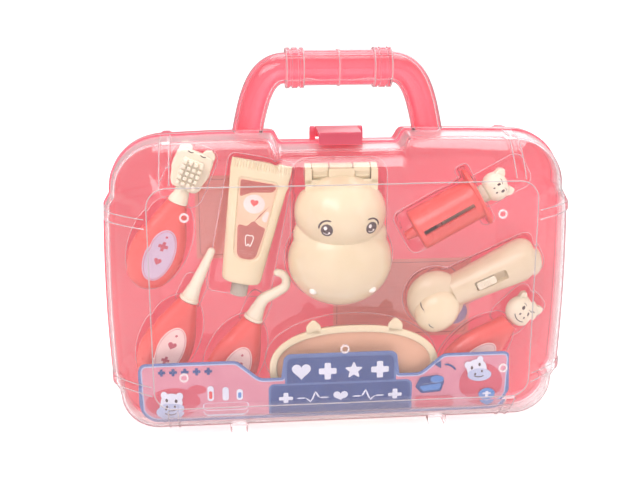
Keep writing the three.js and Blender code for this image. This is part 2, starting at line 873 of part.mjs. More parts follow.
function ear(halfWidth, height, thickness, x, z, tilt = 0) {
  const round = halfWidth * earRoundShare;
  const outline = rounded([
    [halfWidth, -halfWidth],
    [halfWidth, height / 2, round, smallSteps],
    [0, height, halfWidth / 2, smallSteps],
    [-halfWidth, height / 2, round, smallSteps],
    [-halfWidth, -halfWidth],
  ]);
  return plate(outline, -thickness / 2, thickness / 2).rotateY(tilt).translate(x, 0, z);
}

// Ball head with two ears, its ears in shares of its half sizes
function animalHead(halfX, halfY, halfZ, earShare) {
  const ears = [-1, 1].map((hand) => ear(
    halfX * earShare, halfZ * earShare * 2, halfY * earThickShare,
    hand * halfX * earPlaceShare, halfZ * earPlaceShare, hand * earTilt,
  ));
  return join(ellipsoid(halfX, halfY, halfZ), ...ears);
}

function thermometerFace() {
  return animalHead(faceRadius, faceDepth, faceRadius, faceEarShare).translate(0, 0, handleEnd + faceRadius);
}

// Toothbrush

function brushHead() {
  const half = brushHeadThickness / 2;
  const top = brushLength - brushHeadInset;
  const round = brushHeadHalf / 3;
  const side = (hand) => [
    [hand * brushHeadHalf * brushNeckShare, brushHeadStart, round],
    [hand * brushHeadHalf, brushHeadStart + brushHeadHalf, brushHeadHalf],
    [hand * brushHeadHalf * brushTopShare, top, round],
  ];
  const paddle = rounded([...side(1), ...side(-1).reverse()]);
  const neck = turned([
    [0, handleEnd], [neckRadius, handleEnd], [half, brushHeadStart + half], [0, brushHeadStart + half],
  ]);
  const ears = [-1, 1].map((hand) => ear(
    round, round, brushHeadThickness * earPlaceShare, hand * brushHeadHalf * earPlaceShare, top,
  ));
  return join(plate(paddle, -half, half), neck, ...ears);
}

function bristles() {
  const front = -brushHeadThickness / 2 - clearance;
  const halfX = (bristleColumns * bristlePitch) / 2;
  const halfZ = (bristleRows * bristlePitch) / 2;
  const half = bristleSide / 2;
  const tufts = [];
  for (let column = 0; column < bristleColumns; column++) {
    for (let row = 0; row < bristleRows; row++) {
      const x = (column + 0.5) * bristlePitch - halfX;
      const z = (row + 0.5) * bristlePitch - halfZ;
      tufts.push(box(x - half, x + half, front - bristleHeight, front - stickerThickness,
        z - half, z + half));
    }
  }
  const pad = plate(slab(halfX, halfZ, bristlePitch / 2), front - stickerThickness * 2, front);
  return join(pad, ...tufts).translate(0, 0, (brushHeadStart + brushLength) / 2);
}

// Toothpaste tube

function tubeWindow(grow) {
  const low = lerp(tubeCapLength, tubeLength, windowLowShare) - grow;
  const high = tubeLength - crimpLength - windowMargin + grow;
  const lowHalf = tubeBaseHalf * windowLowHalfShare + grow;
  const highHalf = tubeTopHalf * windowHighHalfShare + grow;
  const lowRound = lowHalf * windowRoundShare;
  const highRound = tubeCapRadius / 3;
  return rounded([
    [lowHalf, low, lowRound, mediumSteps], [highHalf, high, highRound, smallSteps],
    [-highHalf, high, highRound, smallSteps], [-lowHalf, low, lowRound, mediumSteps],
  ]);
}

// Turns a plate drawn upright so that it lies along the tube's sloping front
function onTubeFront(geometry) {
  const run = tubeLength - tubeCapLength - crimpLength;
  const slope = Math.atan((tubeBaseThickness - crimpThickness) / 2 / run);
  return geometry
    .translate(0, -tubeBaseThickness / 2, -tubeCapLength)
    .rotateX(-slope)
    .translate(0, 0, tubeCapLength);
}

function tubeBody() {
  const bottom = tubeCapLength + clearance;
  const top = tubeLength - crimpLength;
  const waist = bottom + tubeCapLength / 2;
  const section = (halfX, halfY, z) => atHeight(oval(halfX, halfY, handleSides, tubeOvalShare), z);
  const body = [0, 0.25, 0.5, 0.75, 1].map((way) => section(
    lerp(tubeBaseHalf, tubeTopHalf, way),
    lerp(tubeBaseThickness, crimpThickness, way) / 2,
    lerp(waist, top, way),
  ));
  const shoulder = section(
    tubeBaseHalf * tubeShoulderShare, (tubeBaseThickness / 2) * tubeShoulderShare, bottom,
  );
  const crimp = section(tubeTopHalf, crimpThickness / 2, tubeLength);
  const recess = onTubeFront(plate(tubeWindow(clearance), -tubeBaseThickness, windowDepth));
  return cut(loft([shoulder, ...body, crimp]), recess);
}

function tubeLabel() {
  const front = windowDepth - clearance;
  return onTubeFront(plate(tubeWindow(-clearance), front - stickerThickness, front));
}

function tubeCap() {
  return disc(tubeCapRadius, 0, tubeCapLength);
}

// Syringe, its axis along Z from the nozzle end

const barrelTop = barrelLength + wingThickness;
const plungerBase = barrelLength * plungerBaseShare;
const pistonRadius = barrelRadius - barrelWall - clearance;

function syringeBarrel() {
  const bore = barrelRadius - barrelWall;
  const body = turned([
    [0, -nozzleLength], [nozzleRadius * nozzleTaperShare, -nozzleLength], [nozzleRadius, 0], [bore, 0],
    [barrelRadius, barrelWall], [barrelRadius, barrelTop], [0, barrelTop],
  ]);
  const wing = loft([barrelLength, barrelTop].map((z) => (
    atHeight(oval(wingHalf, barrelRadius + barrelWall / 2, roundSides), z))));
  const hollow = disc(bore, barrelWall, barrelTop + overrun);
  const drip = disc(nozzleBore, -nozzleLength - overrun, barrelWall + overrun, smallSides);
  const start = (barrelLength - slotLength) / 2;
  const slot = box(-slotWidth / 2, slotWidth / 2, -barrelRadius - overrun, 0, start, start + slotLength);
  return cut(join(body, wing), hollow, drip, slot);
}

function syringePiston() {
  const top = plungerBase + pistonThickness;
  return turned([
    [0, plungerBase], [pistonRadius - barrelWall, plungerBase], [pistonRadius, top - pistonThickness / 2],
    [pistonRadius, top], [0, top],
  ]);
}

function syringePlunger() {
  const start = plungerBase + pistonThickness + clearance;
  const end = barrelTop + plungerHeadHalf / 2;
  const plateRadius = pistonRadius * plungerPlateShare;
  return turned([
    [0, start], [plateRadius, start], [plateRadius, start + barrelWall],
    [plungerRadius, start + barrelWall], [plungerRadius, barrelTop],
    [plungerRadius * plungerFlareShare, end], [0, end],
  ]);
}

function plungerHead() {
  const base = barrelTop + plungerHeadHalf / 2 + clearance;
  const half = plungerHeadHalf;
  const head = animalHead(half, half * headDepthShare, half * headHeightShare, headEarShare)
    .translate(0, 0, base + half * headSeatShare);
  return cut(head, disc(half, base - half, base));
}

// Exam light, its axis along Z from the middle of its round head

const switchFront = lightStartRadius + switchRise;
const switchStart = lightLength * switchStartShare;

function switchSlot() {
  const outline = slab(switchSlotWidth / 2, switchSlotLength / 2, switchRound);
  return plate(outline, -lightEndRadius - overrun, switchDepth - switchFront)
    .translate(0, 0, switchStart + switchSlotLength / 2);
}

function lightBody() {
  const start = lightHeadRadius * bodyStartShare;
  const housing = turned([
    [0, start], [lightStartRadius, start], [lightEndRadius, lightLength - lightEndRadius],
    ...bodyEndShares.map(([radius, drop]) => [lightEndRadius * radius, lightLength - lightEndRadius * drop]),
    [0, lightLength],
  ]);
  return cut(housing, lightHeadForm(clearance), switchSlot());
}

function lightSwitch() {
  const half = switchSlotWidth / 2 - clearance;
  const back = switchDepth - switchFront - clearance;
  const top = back - switchDepth - overrun;
  const block = plate(slab(half, switchLength / 2, switchRound), top, back);
  const ribs = [-1, 0, 1].map((step) => (
    box(-half, half, top - overrun, top + overrun, (step - 0.25) * half, (step + 0.25) * half)));
  return join(block, ...ribs).translate(0, 0, switchStart + clearance + switchLength / 2);
}

function lightHeadForm(grow) {
  const radius = lightHeadRadius + grow;
  return ellipsoid(radius, lightHeadDepth + grow, radius, handleSides, handleSides / 2);
}

function lightCapForm(grow) {
  const [halfX, halfY, halfZ] = capShares.map((share) => lightCapRadius * share + grow);
  const [across, front, down] = capPlaceShares;
  return ellipsoid(halfX, halfY, halfZ, handleSides, handleSides / 2)
    .rotateY(capTilt)
    .translate(lightHeadRadius * across, -lightHeadDepth * front, -lightHeadRadius * down);
}

function lightHead() {
  return cut(lightHeadForm(0), lightCapForm(clearance));
}

function lightCap() {
  const [across, front, down] = nubPlaceShares;
  const nub = ellipsoid(...nubShares.map((share) => lightCapRadius * share), smallSides, smallSides / 2)
    .translate(lightCapRadius * across, -lightHeadDepth * front, -lightCapRadius * down);
  return join(lightCapForm(0), nub);
}

// Jaw model: a head that hinges at its top over a lower jaw, both hollow, with a row of teeth in each

function muzzleForm(inset, depth) {
  return ellipsoid(muzzleHalf - inset, depth - inset, muzzleHalfHeight - inset, jawSides, jawRows)
    .translate(0, 0, muzzleHeight);
}

function browForm(inset, depth) {
  return ellipsoid(browHalf - inset, depth - inset, browHalfHeight - inset, jawSides, jawRows)
    .translate(0, 0, browHeight);
}

// Hollow half of the head, on the front side for the upper jaw and the back side for the lower jaw
function jawShell(side, muzzle, brow) {
  const outside = join(muzzleForm(0, muzzle), browForm(0, brow));
  const inside = join(muzzleForm(jawWall, muzzle), browForm(jawWall, brow));
  const half = muzzleHalf + overrun;
  const reach = Math.max(muzzle, brow) + overrun;
  const otherSide = box(-half, half, (side * clearance) / 2, -side * reach, 0, bodyHeight);
  return cut(outside, inside, otherSide);
}

// Hinge knuckle with a square block on its front or back side
function jawBlock(x0, x1, side) {
  const low = jawHingeHeight - jawKnuckleRadius;
  return join(
    barAlongX(jawKnuckleRadius, x0, x1, 0, jawHingeHeight),
    box(x0, x1, 0, side * jawKnuckleRadius, low, jawHingeHeight),
  );
}

function pinBore() {
  return barAlongX(jawPinRadius + jawRunning, -muzzleHalf, muzzleHalf, 0, jawHingeHeight);
}

const jawWindowHalf = jawBlockHalf - jawEndKnuckle;

function upperJaw() {
  const middle = jawMiddleHalf - clearance;
  const knuckles = [
    jawBlock(-middle, middle, -1),
    jawBlock(-jawBlockHalf, -jawWindowHalf, -1),
    jawBlock(jawWindowHalf, jawBlockHalf, -1),
  ];
  const bridge = box(
    -jawBlockHalf, jawBlockHalf, -jawKnuckleRadius - jawWall, overrun / 2 - jawKnuckleRadius,
    jawHingeHeight - 2 * jawKnuckleRadius, jawHingeHeight + bridgeShare * jawKnuckleRadius,
  );
  const windows = [-1, 1].map((hand) => box(
    hand * (jawMiddleHalf + overrun / 2), hand * jawWindowHalf, -2 * jawKnuckleRadius, 0,
    jawHingeHeight - bridgeShare * jawKnuckleRadius, jawHingeHeight + jawKnuckleRadius,
  ));
  const lowerRoom = [-1, 1].map((hand) => box(
    hand * jawMiddleHalf, hand * jawWindowHalf, -jawKnuckleRadius - clearance, muzzleDepth,
    jawHingeHeight - windowDropShare * jawKnuckleRadius, bodyHeight,
  ));
  const shell = jawShell(-1, muzzleDepth, browDepth);
  return cut(join(shell, bridge, ...knuckles), ...windows, ...lowerRoom, pinBore());
}

function lowerJaw() {
  const inner = jawMiddleHalf + clearance;
  const outer = jawWindowHalf - clearance;
  const low = jawHingeHeight - jawKnuckleRadius - clearance;
  const back = jawKnuckleRadius + clearance;
  const knuckles = [-1, 1].map((hand) => jawBlock(hand * inner, hand * outer, 1));
  const rooms = [[-muzzleHalf, -outer], [-inner, inner], [outer, muzzleHalf]].map(([x0, x1]) => (
    box(x0, x1, -clearance, back, low, bodyHeight)));
  const shell = jawShell(1, lowerJawDepth, lowerJawDepth);
  return cut(join(shell, ...knuckles), ...rooms, pinBore());
}

function jawPin() {
  return barAlongX(jawPinRadius, -jawBlockHalf, jawBlockHalf, 0, jawHingeHeight);
}

// Teeth on a curved gum, side +1 behind the mouth and -1 in front of it
function teeth(side, jawDepth) {
  const depth = toothHeight + gumDepth;
  const narrowing = Math.sqrt(1 - (depth / (jawDepth - jawWall)) ** 2);
  const halfX = (muzzleHalf - jawWall) * narrowing - toothMargin;
  const halfZ = (muzzleHalfHeight - jawWall) * narrowing - toothMargin;
  const angles = Array.from({ length: toothCount }, (_, k) => (
    (k - (toothCount - 1) / 2) * toothSpacing - Math.PI / 2));
  const arch = (share) => angles.map((angle) => (
    new THREE.Vector2(halfX * share * Math.cos(angle), halfZ * share * Math.sin(angle))));
  const gumOutline = [...arch(1), ...arch(gumInnerShare).reverse()];
  const gum = plate(gumOutline, side * toothHeight * crownShare, side * depth);
  const crowns = arch(toothPlaceShare).map(({ x, y }, k) => (
    plate(slab(toothRadius * crownShare, toothRadius, toothRadius / 2), side * overrun, side * toothHeight)
      .rotateY(-angles[k] - Math.PI / 2)
      .translate(x, 0, y)));
  return join(gum, ...crowns).translate(0, 0, muzzleHeight);
}

// Dish with its mouth to the front, from rings of [inset from the rim, depth behind the rim]

function dishLoft(rings, floorGrow, floorDepth) {
  const ring = (halfX, halfZ, depth) => (
    atDepth(oval(halfX, halfZ, dishSides, dishOvalShare), depth - dishFront));
  return loft([
    ...rings.map(([inset, depth]) => ring(dishHalfWidth - inset, dishHalfHeight - inset, depth)),
    ring(dishFloorHalfWidth + floorGrow, dishFloorHalfHeight + floorGrow, floorDepth),
  ]);
}

function dish() {
  const slope = dishRim * dishSlopeShare;
  const outer = dishLoft([
    [0, 0], [0, dishWall], [dishRim, dishWall], [slope, dishDepth * dishShoulderShare],
  ], dishWall, dishDepth);
  const inner = dishLoft([
    [dishRim + dishWall, -overrun], [dishRim + dishWall, dishWall],
    [slope + dishWall, dishDepth * dishInnerShare],
  ], 0, dishDepth - dishWall);
  const ears = [-1, 1].map((hand) => ear(
    dishEarHalf, dishEarHalf * 2, dishWall,
    hand * dishHalfWidth * dishEarPlaceShare, dishHalfHeight * dishEarHeightShare,
  ).translate(0, dishWall / 2 - dishFront, 0));
  return cut(join(outer, ...ears), inner);
}

function dishSticker() {
  const floor = dishDepth - dishFront - dishWall - clearance;
  return sticker(dishLabelHalfWidth, dishLabelHalfHeight, floor, dishLabelRise);
}

// Formed tray: a sheet with a pocket for each tool

// Half thickness of a handle once it is rolled about its length
const rolledHalf = Math.hypot(
  (handleThickness / 2) * Math.cos(handleRoll), (handleWidth / 2) * Math.sin(handleRoll),
);
const headRoom = plungerTravel + plungerHeadHalf * headRoomShare;

// Each pocket: where its tool lies, how far along the tool its middle is, the tool's outline
// grown by a margin, and the depth of the tool's back
const pockets = [
  ...[brushPlace, pickPlace, hookPlace, gaugePlace].map((place) => ({
    place,
    along: handleLength / 2,
    outline: (grow) => ovalAround(handleWidth / 2 + grow, handleLength / 2 + grow),
    back: rolledHalf - toolDepth,
  })),
  {
    place: brushPlace,
    along: (brushLength + handleLength) / 2,
    outline: (grow) => slab(brushHeadHalf + grow, (brushLength - handleLength) / 2 + grow, brushHeadHalf / 2),
    back: neckRadius - toolDepth,
  },
  ...[pickPlace, hookPlace].map((place) => ({
    place,
    along: handleLength + collarLength / 2,
    outline: (grow) => slab(neckRadius + grow, collarLength + grow, neckRadius / 2),
    back: neckRadius - toolDepth,
  })),
  {
    place: gaugePlace,
    along: handleLength + faceRadius * faceRoomShare,
    outline: (grow) => (
      slab(faceRadius + grow + clearance, faceRadius + collarLength / 2 + grow, faceRadius / 2)),
    back: faceDepth - toolDepth,
  },
  {
    place: tubePlace,
    along: tubeLength / 2,
    outline: (grow) => slab(tubeTopHalf + grow, tubeLength / 2 + grow, tubeCapRadius / 2),
    back: tubeBaseThickness / 2 - toolDepth,
  },
  {
    place: syringePlace,
    along: (barrelTop - nozzleLength) / 2,
    outline: (grow) => slab(barrelRadius + grow, (barrelTop + nozzleLength) / 2 + grow, nozzleRadius),
    back: barrelRadius - toolDepth,
  },
  {
    place: syringePlace,
    along: barrelTop - wingThickness / 2,
    outline: (grow) => slab(wingHalf + grow, wingThickness + grow, wingThickness / 2),
    back: barrelRadius + barrelWall - toolDepth,
  },
  {
    place: syringePlace,
    along: barrelTop + headRoom / 2,
    outline: (grow) => slab(plungerHeadHalf + grow + clearance, headRoom / 2 + grow, plungerHeadHalf / 2),
    back: plungerHeadHalf * headDepthShare - toolDepth,
  },
  {
    place: lightPlace,
    along: lightLength / 2,
    outline: (grow) => slab(lightEndRadius + grow, lightLength / 2 + grow, lightEndRadius / 2),
    back: lightEndRadius - toolDepth,
  },
  {
    place: lightPlace,
    along: 0,
    outline: (grow) => ovalAround(lightHeadRadius + grow, lightHeadRadius + grow),
    back: lightEndRadius - toolDepth,
  },
  {
    place: jawPlace,
    along: muzzleHeight,
    outline: (grow) => ovalAround(muzzleHalf + grow, muzzleHalfHeight + grow, handleSides),
    back: lowerJawDepth - mouthDepth,
  },
  {
    place: jawPlace,
    along: (jawHingeHeight + jawKnuckleRadius + muzzleHeight) / 2,
    outline: (grow) => (
      slab(browHalf + grow, (jawHingeHeight + jawKnuckleRadius - muzzleHeight) / 2 + grow, browHalf / 3)),
    back: lowerJawDepth - mouthDepth,
  },
  {
    place: dishPlace,
    along: 0,
    outline: (grow) => ovalAround(dishHalfWidth + grow, dishHalfHeight + grow, handleSides, dishOvalShare),
    back: dishDepth - dishFront,
  },
];

function laidOut(outline, { x: left, z: low, lean }, along) {
  const cos = Math.cos(lean);
  const sin = Math.sin(lean);
  return outline.map(({ x, y }) => (
    new THREE.Vector2(left + x * cos + (y + along) * sin, low - x * sin + (y + along) * cos)));
}

function tray() {
  const edge = flangeStep + shellWall + clearance;
  const sheet = plate(caseOutline(0, edge), sheetDepth, sheetDepth + sheetThickness);
  const cups = pockets.map(({ place, along, outline, back }) => plate(
    laidOut(outline(pocketClearance + sheetThickness), place, along),
    sheetDepth, back + clearance + sheetThickness,
  ));
  const hollows = pockets.map(({ place, along, outline, back }) => plate(
    laidOut(outline(pocketClearance), place, along), sheetDepth - overrun, back + clearance,
  ));
  return cut(join(sheet, ...cups), ...hollows);
}

// Printed card behind the cover's lower edge, with a raised middle plate between two wings
function labelCard() {
  const share = shareAt(cardDepth + cardThickness);
  const inside = flangeStep + shellWall;
  const low = panelEndInset * share + inside + cardMargin;
  const halfRoom = caseWidth / 2 - panelSideInset * share - inside;
  const valley = cardPlateHalf + cardRadius;
  const shoulder = cardPlateHalf * 2 - cardRadius / 2;
  const half = (hand, end) => [
    [hand * end, low, cardRadius, mediumSteps],
    [hand * end, cardWingHeight, cardRadius / 3, smallSteps],
    [hand * shoulder, cardWingHeight, cardRadius / 2, smallSteps],
    [hand * valley, cardValleyHeight, cardRadius / 2, smallSteps],
    [hand * cardPlateHalf, cardValleyHeight],
    [hand * cardPlateHalf, cardPlateHeight, cardRadius / 3, smallSteps],
  ];
  const outline = [...half(1, halfRoom - cardRightRoom), ...half(-1, halfRoom - cardLeftRoom).reverse()];
  return plate(rounded(outline), -cardDepth - cardThickness, -cardDepth);
}

// Paper behind the tray, placed by shares of the case's back panel
function leaflet({ across, up }) {
  const back = halfDepth - shellWall - clearance;
  const [left, right] = across.map((share) => share * (caseWidth / 2 - panelSideInset));
  const [low, high] = up.map((share) => lerp(panelEndInset, bodyHeight - panelEndInset, share));
  return box(left, right, back - paperThickness, back, low, high);
}

const model = new THREE.Group();
model.position.z = footHeight;

function piece(parent, name, geometry, finish) {
  const mesh = new THREE.Mesh(geometry, finish);
  mesh.name = name;
  mesh.geometry.computeVertexNormals();
  parent.add(mesh);
}

function toolGroup(place, depth = toolDepth) {
  const group = new THREE.Group();
  group.position.set(place.x, -depth, place.z);
  group.rotation.y = place.lean;
  model.add(group);
  return group;
}

piece(model, 'rear_shell', rearShell(), material('shellPink', 0.35));
piece(model, 'front_cover', frontCover(), material('clear', 0.1));
piece(model, 'latch', latch(), material('shellPink', 0.35));
piece(model, 'tool_tray', tray(), material('clear', 0.12));
piece(model, 'label_card', labelCard(), material('slate', 0.6));
piece(model, 'leaflet_left', leaflet(leftLeafletShares), material('salmon', 0.8));
piece(model, 'leaflet_right', leaflet(rightLeafletShares), material('salmon', 0.8));

const brush = toolGroup(brushPlace);
piece(brush, 'toothbrush_handle', leafHandle(), material('coral', 0.35));
piece(brush, 'toothbrush_label', handleSticker(), material('lilac', 0.5));
piece(brush, 'toothbrush_head', brushHead(), material('white', 0.35));
piece(brush, 'toothbrush_bristles', bristles(), material('white', 0.5));

const pick = toolGroup(pickPlace);
piece(pick, 'pick_handle', leafHandle(), material('coral', 0.35));
piece(pick, 'pick_label', handleSticker(), material('blush', 0.5));
piece(pick, 'pick_tip', pickTip(), material('white', 0.35));

const hook = toolGroup(hookPlace);
piece(hook, 'hook_handle', leafHandle(), material('coral', 0.35));
piece(hook, 'hook_label', handleSticker(), material('blush', 0.5));
piece(hook, 'hook_tip', hookTip(), material('white', 0.35));

const gauge = toolGroup(gaugePlace);
piece(gauge, 'thermometer_handle', leafHandle(), material('coral', 0.35));
piece(gauge, 'thermometer_label', handleSticker(), material('blush', 0.5));
piece(gauge, 'thermometer_face', thermometerFace(), material('white', 0.35));

const tube = toolGroup(tubePlace);
piece(tube, 'paste_tube', tubeBody(), material('cream', 0.4));
piece(tube, 'paste_label', tubeLabel(), material('brown', 0.5));
piece(tube, 'paste_cap', tubeCap(), material('grey', 0.45));

const syringe = toolGroup(syringePlace);
piece(syringe, 'syringe_barrel', syringeBarrel(), material('coral', 0.35));
piece(syringe, 'syringe_piston', syringePiston(), material('brown', 0.6));
piece(syringe, 'syringe_plunger', syringePlunger(), material('white', 0.35));
piece(syringe, 'plunger_head', plungerHead(), material('white', 0.35));

const light = toolGroup(lightPlace);
piece(light, 'light_body', lightBody(), material('cream', 0.35));
piece(light, 'light_switch', lightSwitch(), material('white', 0.4));
piece(light, 'light_head', lightHead(), material('cream', 0.35));
piece(light, 'light_cap', lightCap(), material('cream', 0.3));

const jaw = toolGroup(jawPlace, mouthDepth);
piece(jaw, 'upper_jaw', upperJaw(), material('cream', 0.25));
piece(jaw, 'lower_jaw', lowerJaw(), material('cream', 0.25));
piece(jaw, 'jaw_pin', jawPin(), material('steel', 0.3, 0.9));
piece(jaw, 'upper_teeth', teeth(-1, muzzleDepth), material('enamel', 0.3));
piece(jaw, 'lower_teeth', teeth(1, lowerJawDepth), material('enamel', 0.3));

const bowl = toolGroup(dishPlace, 0);
piece(bowl, 'dish', dish(), material('cream', 0.35));
piece(bowl, 'dish_label', dishSticker(), material('coral', 0.5));

export default model;
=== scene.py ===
import math

import bpy
import numpy as np
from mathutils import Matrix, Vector


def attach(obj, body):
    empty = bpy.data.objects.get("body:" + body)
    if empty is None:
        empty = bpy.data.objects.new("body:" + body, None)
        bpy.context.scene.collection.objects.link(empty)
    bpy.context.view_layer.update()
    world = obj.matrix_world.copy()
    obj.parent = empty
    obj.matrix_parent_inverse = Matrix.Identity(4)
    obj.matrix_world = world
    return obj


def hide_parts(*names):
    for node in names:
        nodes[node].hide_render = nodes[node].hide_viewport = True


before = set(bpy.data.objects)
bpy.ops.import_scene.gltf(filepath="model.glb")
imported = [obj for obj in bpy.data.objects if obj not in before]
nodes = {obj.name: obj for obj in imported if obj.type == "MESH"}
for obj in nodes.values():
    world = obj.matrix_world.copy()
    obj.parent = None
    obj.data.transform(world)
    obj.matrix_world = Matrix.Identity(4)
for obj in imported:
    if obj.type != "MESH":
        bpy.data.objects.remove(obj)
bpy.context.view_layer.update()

mm = 0.001
fullTurn = 2 * math.pi
bothHands = (-1, 1)
print("frame loaded:", len(nodes), "nodes")


# Meshes from arrays
# A skin is a pair of its points, in millimetres, and its faces

def signedVolume(points, faces):
    # Sum over all triangles of a . (b x c) / 6, which is above zero when the faces point outwards
    tris = np.array([(f[0], f[k], f[k + 1]) for f in faces for k in range(1, len(f) - 1)])
    a, b, c = points[tris[:, 0]], points[tris[:, 1]], points[tris[:, 2]]
    return float(np.einsum("ij,ij->i", a, np.cross(b, c)).sum()) / 6


def facingOut(points, faces):
    if signedVolume(points, faces) < 0:
        return [tuple(reversed(f)) for f in faces]
    return faces


def makePiece(name, skin, finish, body="case", smoothAngle=40, unit=mm):
    points = np.asarray(skin[0], dtype=float) * unit
    faces = facingOut(points, skin[1])
    mesh = bpy.data.meshes.new(name)
    mesh.from_pydata(points.tolist(), [], [tuple(int(i) for i in f) for f in faces])
    mesh.validate()
    mesh.polygons.foreach_set("use_smooth", [True] * len(mesh.polygons))
    mesh.set_sharp_from_angle(angle=math.radians(smoothAngle))
    piece = bpy.data.objects.new(name, mesh)
    bpy.context.collection.objects.link(piece)
    mesh.materials.append(finishes[finish])
    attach(piece, body)
    return piece


def joined(*skins):
    points, faces, start = [], [], 0
    for part, partFaces in skins:
        part = np.asarray(part, dtype=float)
        points.append(part)
        faces.extend(tuple(i + start for i in f) for f in facingOut(part, partFaces))
        start += len(part)
    return np.concatenate(points), faces


def smoothed(node, finish, body):
    # A copy of a CAD node with its doubles merged and its gentle edges shaded smooth
    source = nodes[node].data
    points = np.empty(len(source.vertices) * 3)
    source.vertices.foreach_get("co", points)
    keys, where = np.unique(np.round(points.reshape(-1, 3), 7), axis=0, return_inverse=True)
    faces = np.empty(len(source.loops), dtype=int)
    source.loops.foreach_get("vertex_index", faces)
    a, b, c = where.ravel()[faces.reshape(-1, 3)].T
    keep = (a != b) & (b != c) & (c != a)
    faces = np.stack([a, b, c], axis=1)[keep]
    piece = makePiece(node + "_finished", (keys, faces.tolist()), finish, body, 35, unit=1.0)
    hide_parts(node)
    return piece


def bevelled(piece, width=0.3, segments=2):
    bevel = piece.modifiers.new("softEdges", "BEVEL")
    bevel.width = width * mm
    bevel.segments = segments
    bevel.limit_method = "ANGLE"
    bevel.angle_limit = math.radians(40)
    return piece


# Skins through rings of points

def around(count):
    return np.linspace(0, fullTurn, count, endpoint=False)


def flatRing(line, y):
    # A line in the XZ plane, placed at a depth
    return np.stack([line[:, 0], np.full(len(line), float(y)), line[:, 1]], axis=1)


def ringQuads(rings):
    # Quads between each ring of points and the next
    rows, columns = rings.shape[:2]
    index = np.arange(rows * columns).reshape(rows, columns)
    after = np.roll(index, -1, axis=1)
    quads = np.stack([index[:-1], after[:-1], after[1:], index[1:]], axis=-1).reshape(-1, 4)
    return index, after, quads.tolist()


def skinThrough(rings):
    # Both ends are closed on the middle of their ring
    rings = np.asarray(rings, dtype=float)
    index, after, quads = ringQuads(rings)
    first, last = index.size, index.size + 1
    low = np.stack([after[0], index[0], np.full(len(index[0]), first)], axis=-1)
    high = np.stack([index[-1], after[-1], np.full(len(index[0]), last)], axis=-1)
    ends = rings[(0, -1), :].mean(axis=1)
    return np.concatenate([rings.reshape(-1, 3), ends]), quads + low.tolist() + high.tolist()


def loopSkin(rings):
    # The last ring is joined to the first one
    rings = np.asarray(rings, dtype=float)
    index, after, _ = ringQuads(rings)
    above, across = np.roll(index, -1, axis=0), np.roll(after, -1, axis=0)
    return rings.reshape(-1, 3), np.stack([index, after, across, above], axis=-1).reshape(-1, 4).tolist()


def bandSkin(rings):
    # Each ring runs out along one line and back along another, and both ends are closed from line to line
    rings = np.asarray(rings, dtype=float)
    index, _, quads = ringQuads(rings)
    out = np.arange(rings.shape[1] // 2)
    back = rings.shape[1] - 1 - out
    for row, turn in ((index[0], -1), (index[-1], 1)):
        end = np.stack([row[out[:-1]], row[out[1:]], row[back[1:]], row[back[:-1]]], axis=1)
        quads += end[:, ::turn].tolist()
    return rings.reshape(-1, 3), quads


def plateSkin(outline, y0, y1):
    return skinThrough([flatRing(outline, y) for y in (y0, y1)])


def boxSkin(x0, x1, y0, y1, z0, z1):
    return plateSkin(np.array([(x0, z0), (x1, z0), (x1, z1), (x0, z1)]), y0, y1)


def barSkin(radius, x0, x1, y, z, sides=24, chamfer=0.25):
    # A circle in the YZ plane carried along X, its two ends chamfered
    turn = around(sides)
    ends = [(x0, radius - chamfer), (x0 + chamfer, radius), (x1 - chamfer, radius), (x1, radius - chamfer)]
    return skinThrough([np.stack([np.full(sides, x), y + r * np.cos(turn), z + r * np.sin(turn)], axis=1)
                        for x, r in ends])


def turnedRings(profile, sides):
    # A profile of [radius, z] pairs carried around Z
    profile = np.asarray(profile, dtype=float)
    turn = around(sides)
    return np.stack([profile[:, :1] * np.cos(turn), profile[:, :1] * np.sin(turn),
                     np.repeat(profile[:, 1:], sides, axis=1)], axis=2)


def turnedSkin(profile, sides=56):
    return skinThrough(turnedRings(profile, sides))


def turnedLoop(profile, sides=56):
    return loopSkin(turnedRings(profile, sides))


def ballSkin(halfX, halfY, halfZ, sides=48, rows=28):
    # x = a cos u cos v, y = b sin u cos v, z = c sin v
    pole = math.pi / 2 - 0.02
    tilt = np.linspace(-pole, pole, rows)[:, None]
    turn = around(sides)[None]
    return skinThrough(np.stack([halfX * np.cos(turn) * np.cos(tilt), halfY * np.sin(turn) * np.cos(tilt),
                                 halfZ * np.sin(tilt) + 0 * turn], axis=2))


def tubeAlong(path, radius, sides=28):
    # Circles of a given radius at each place of a path in the XZ plane, at right angles to it
    path, radius = np.asarray(path, dtype=float), np.asarray(radius, dtype=float)[:, None]
    heading = headingOf(np.gradient(path, axis=0))
    turn = around(sides)[None]
    spread = radius * np.cos(turn)
    return skinThrough(np.stack([path[:, :1] + heading[:, 1:] * spread, radius * np.sin(turn),
                                 path[:, 1:] - heading[:, :1] * spread], axis=2))


# Skins moved and turned

def moved(skin, x=0.0, y=0.0, z=0.0):
    points, faces = skin
    return np.asarray(points, dtype=float) + (x, y, z), faces


def turnedAbout(skin, axis, degrees):
    # Turns a skin about one of the frame's axes through the origin
    points, faces = skin
    angle = math.radians(degrees)
    first, second = {"X": (1, 2), "Y": (2, 0), "Z": (0, 1)}[axis]
    points = np.array(points, dtype=float)
    a, b = points[:, first].copy(), points[:, second].copy()
    points[:, first] = a * math.cos(angle) - b * math.sin(angle)
    points[:, second] = a * math.sin(angle) + b * math.cos(angle)
    return points, faces


# Curves and outlines in the XZ plane

def mixed(a, b, share):
    return a + (b - a) * share


def headingOf(steps):
    return steps / np.maximum(np.hypot(*steps.T), 1e-9)[:, None]


def travelled(path):
    # Distance from the start of a path to each of its points
    return np.concatenate([[0], np.cumsum(np.hypot(*np.diff(path, axis=0).T))])


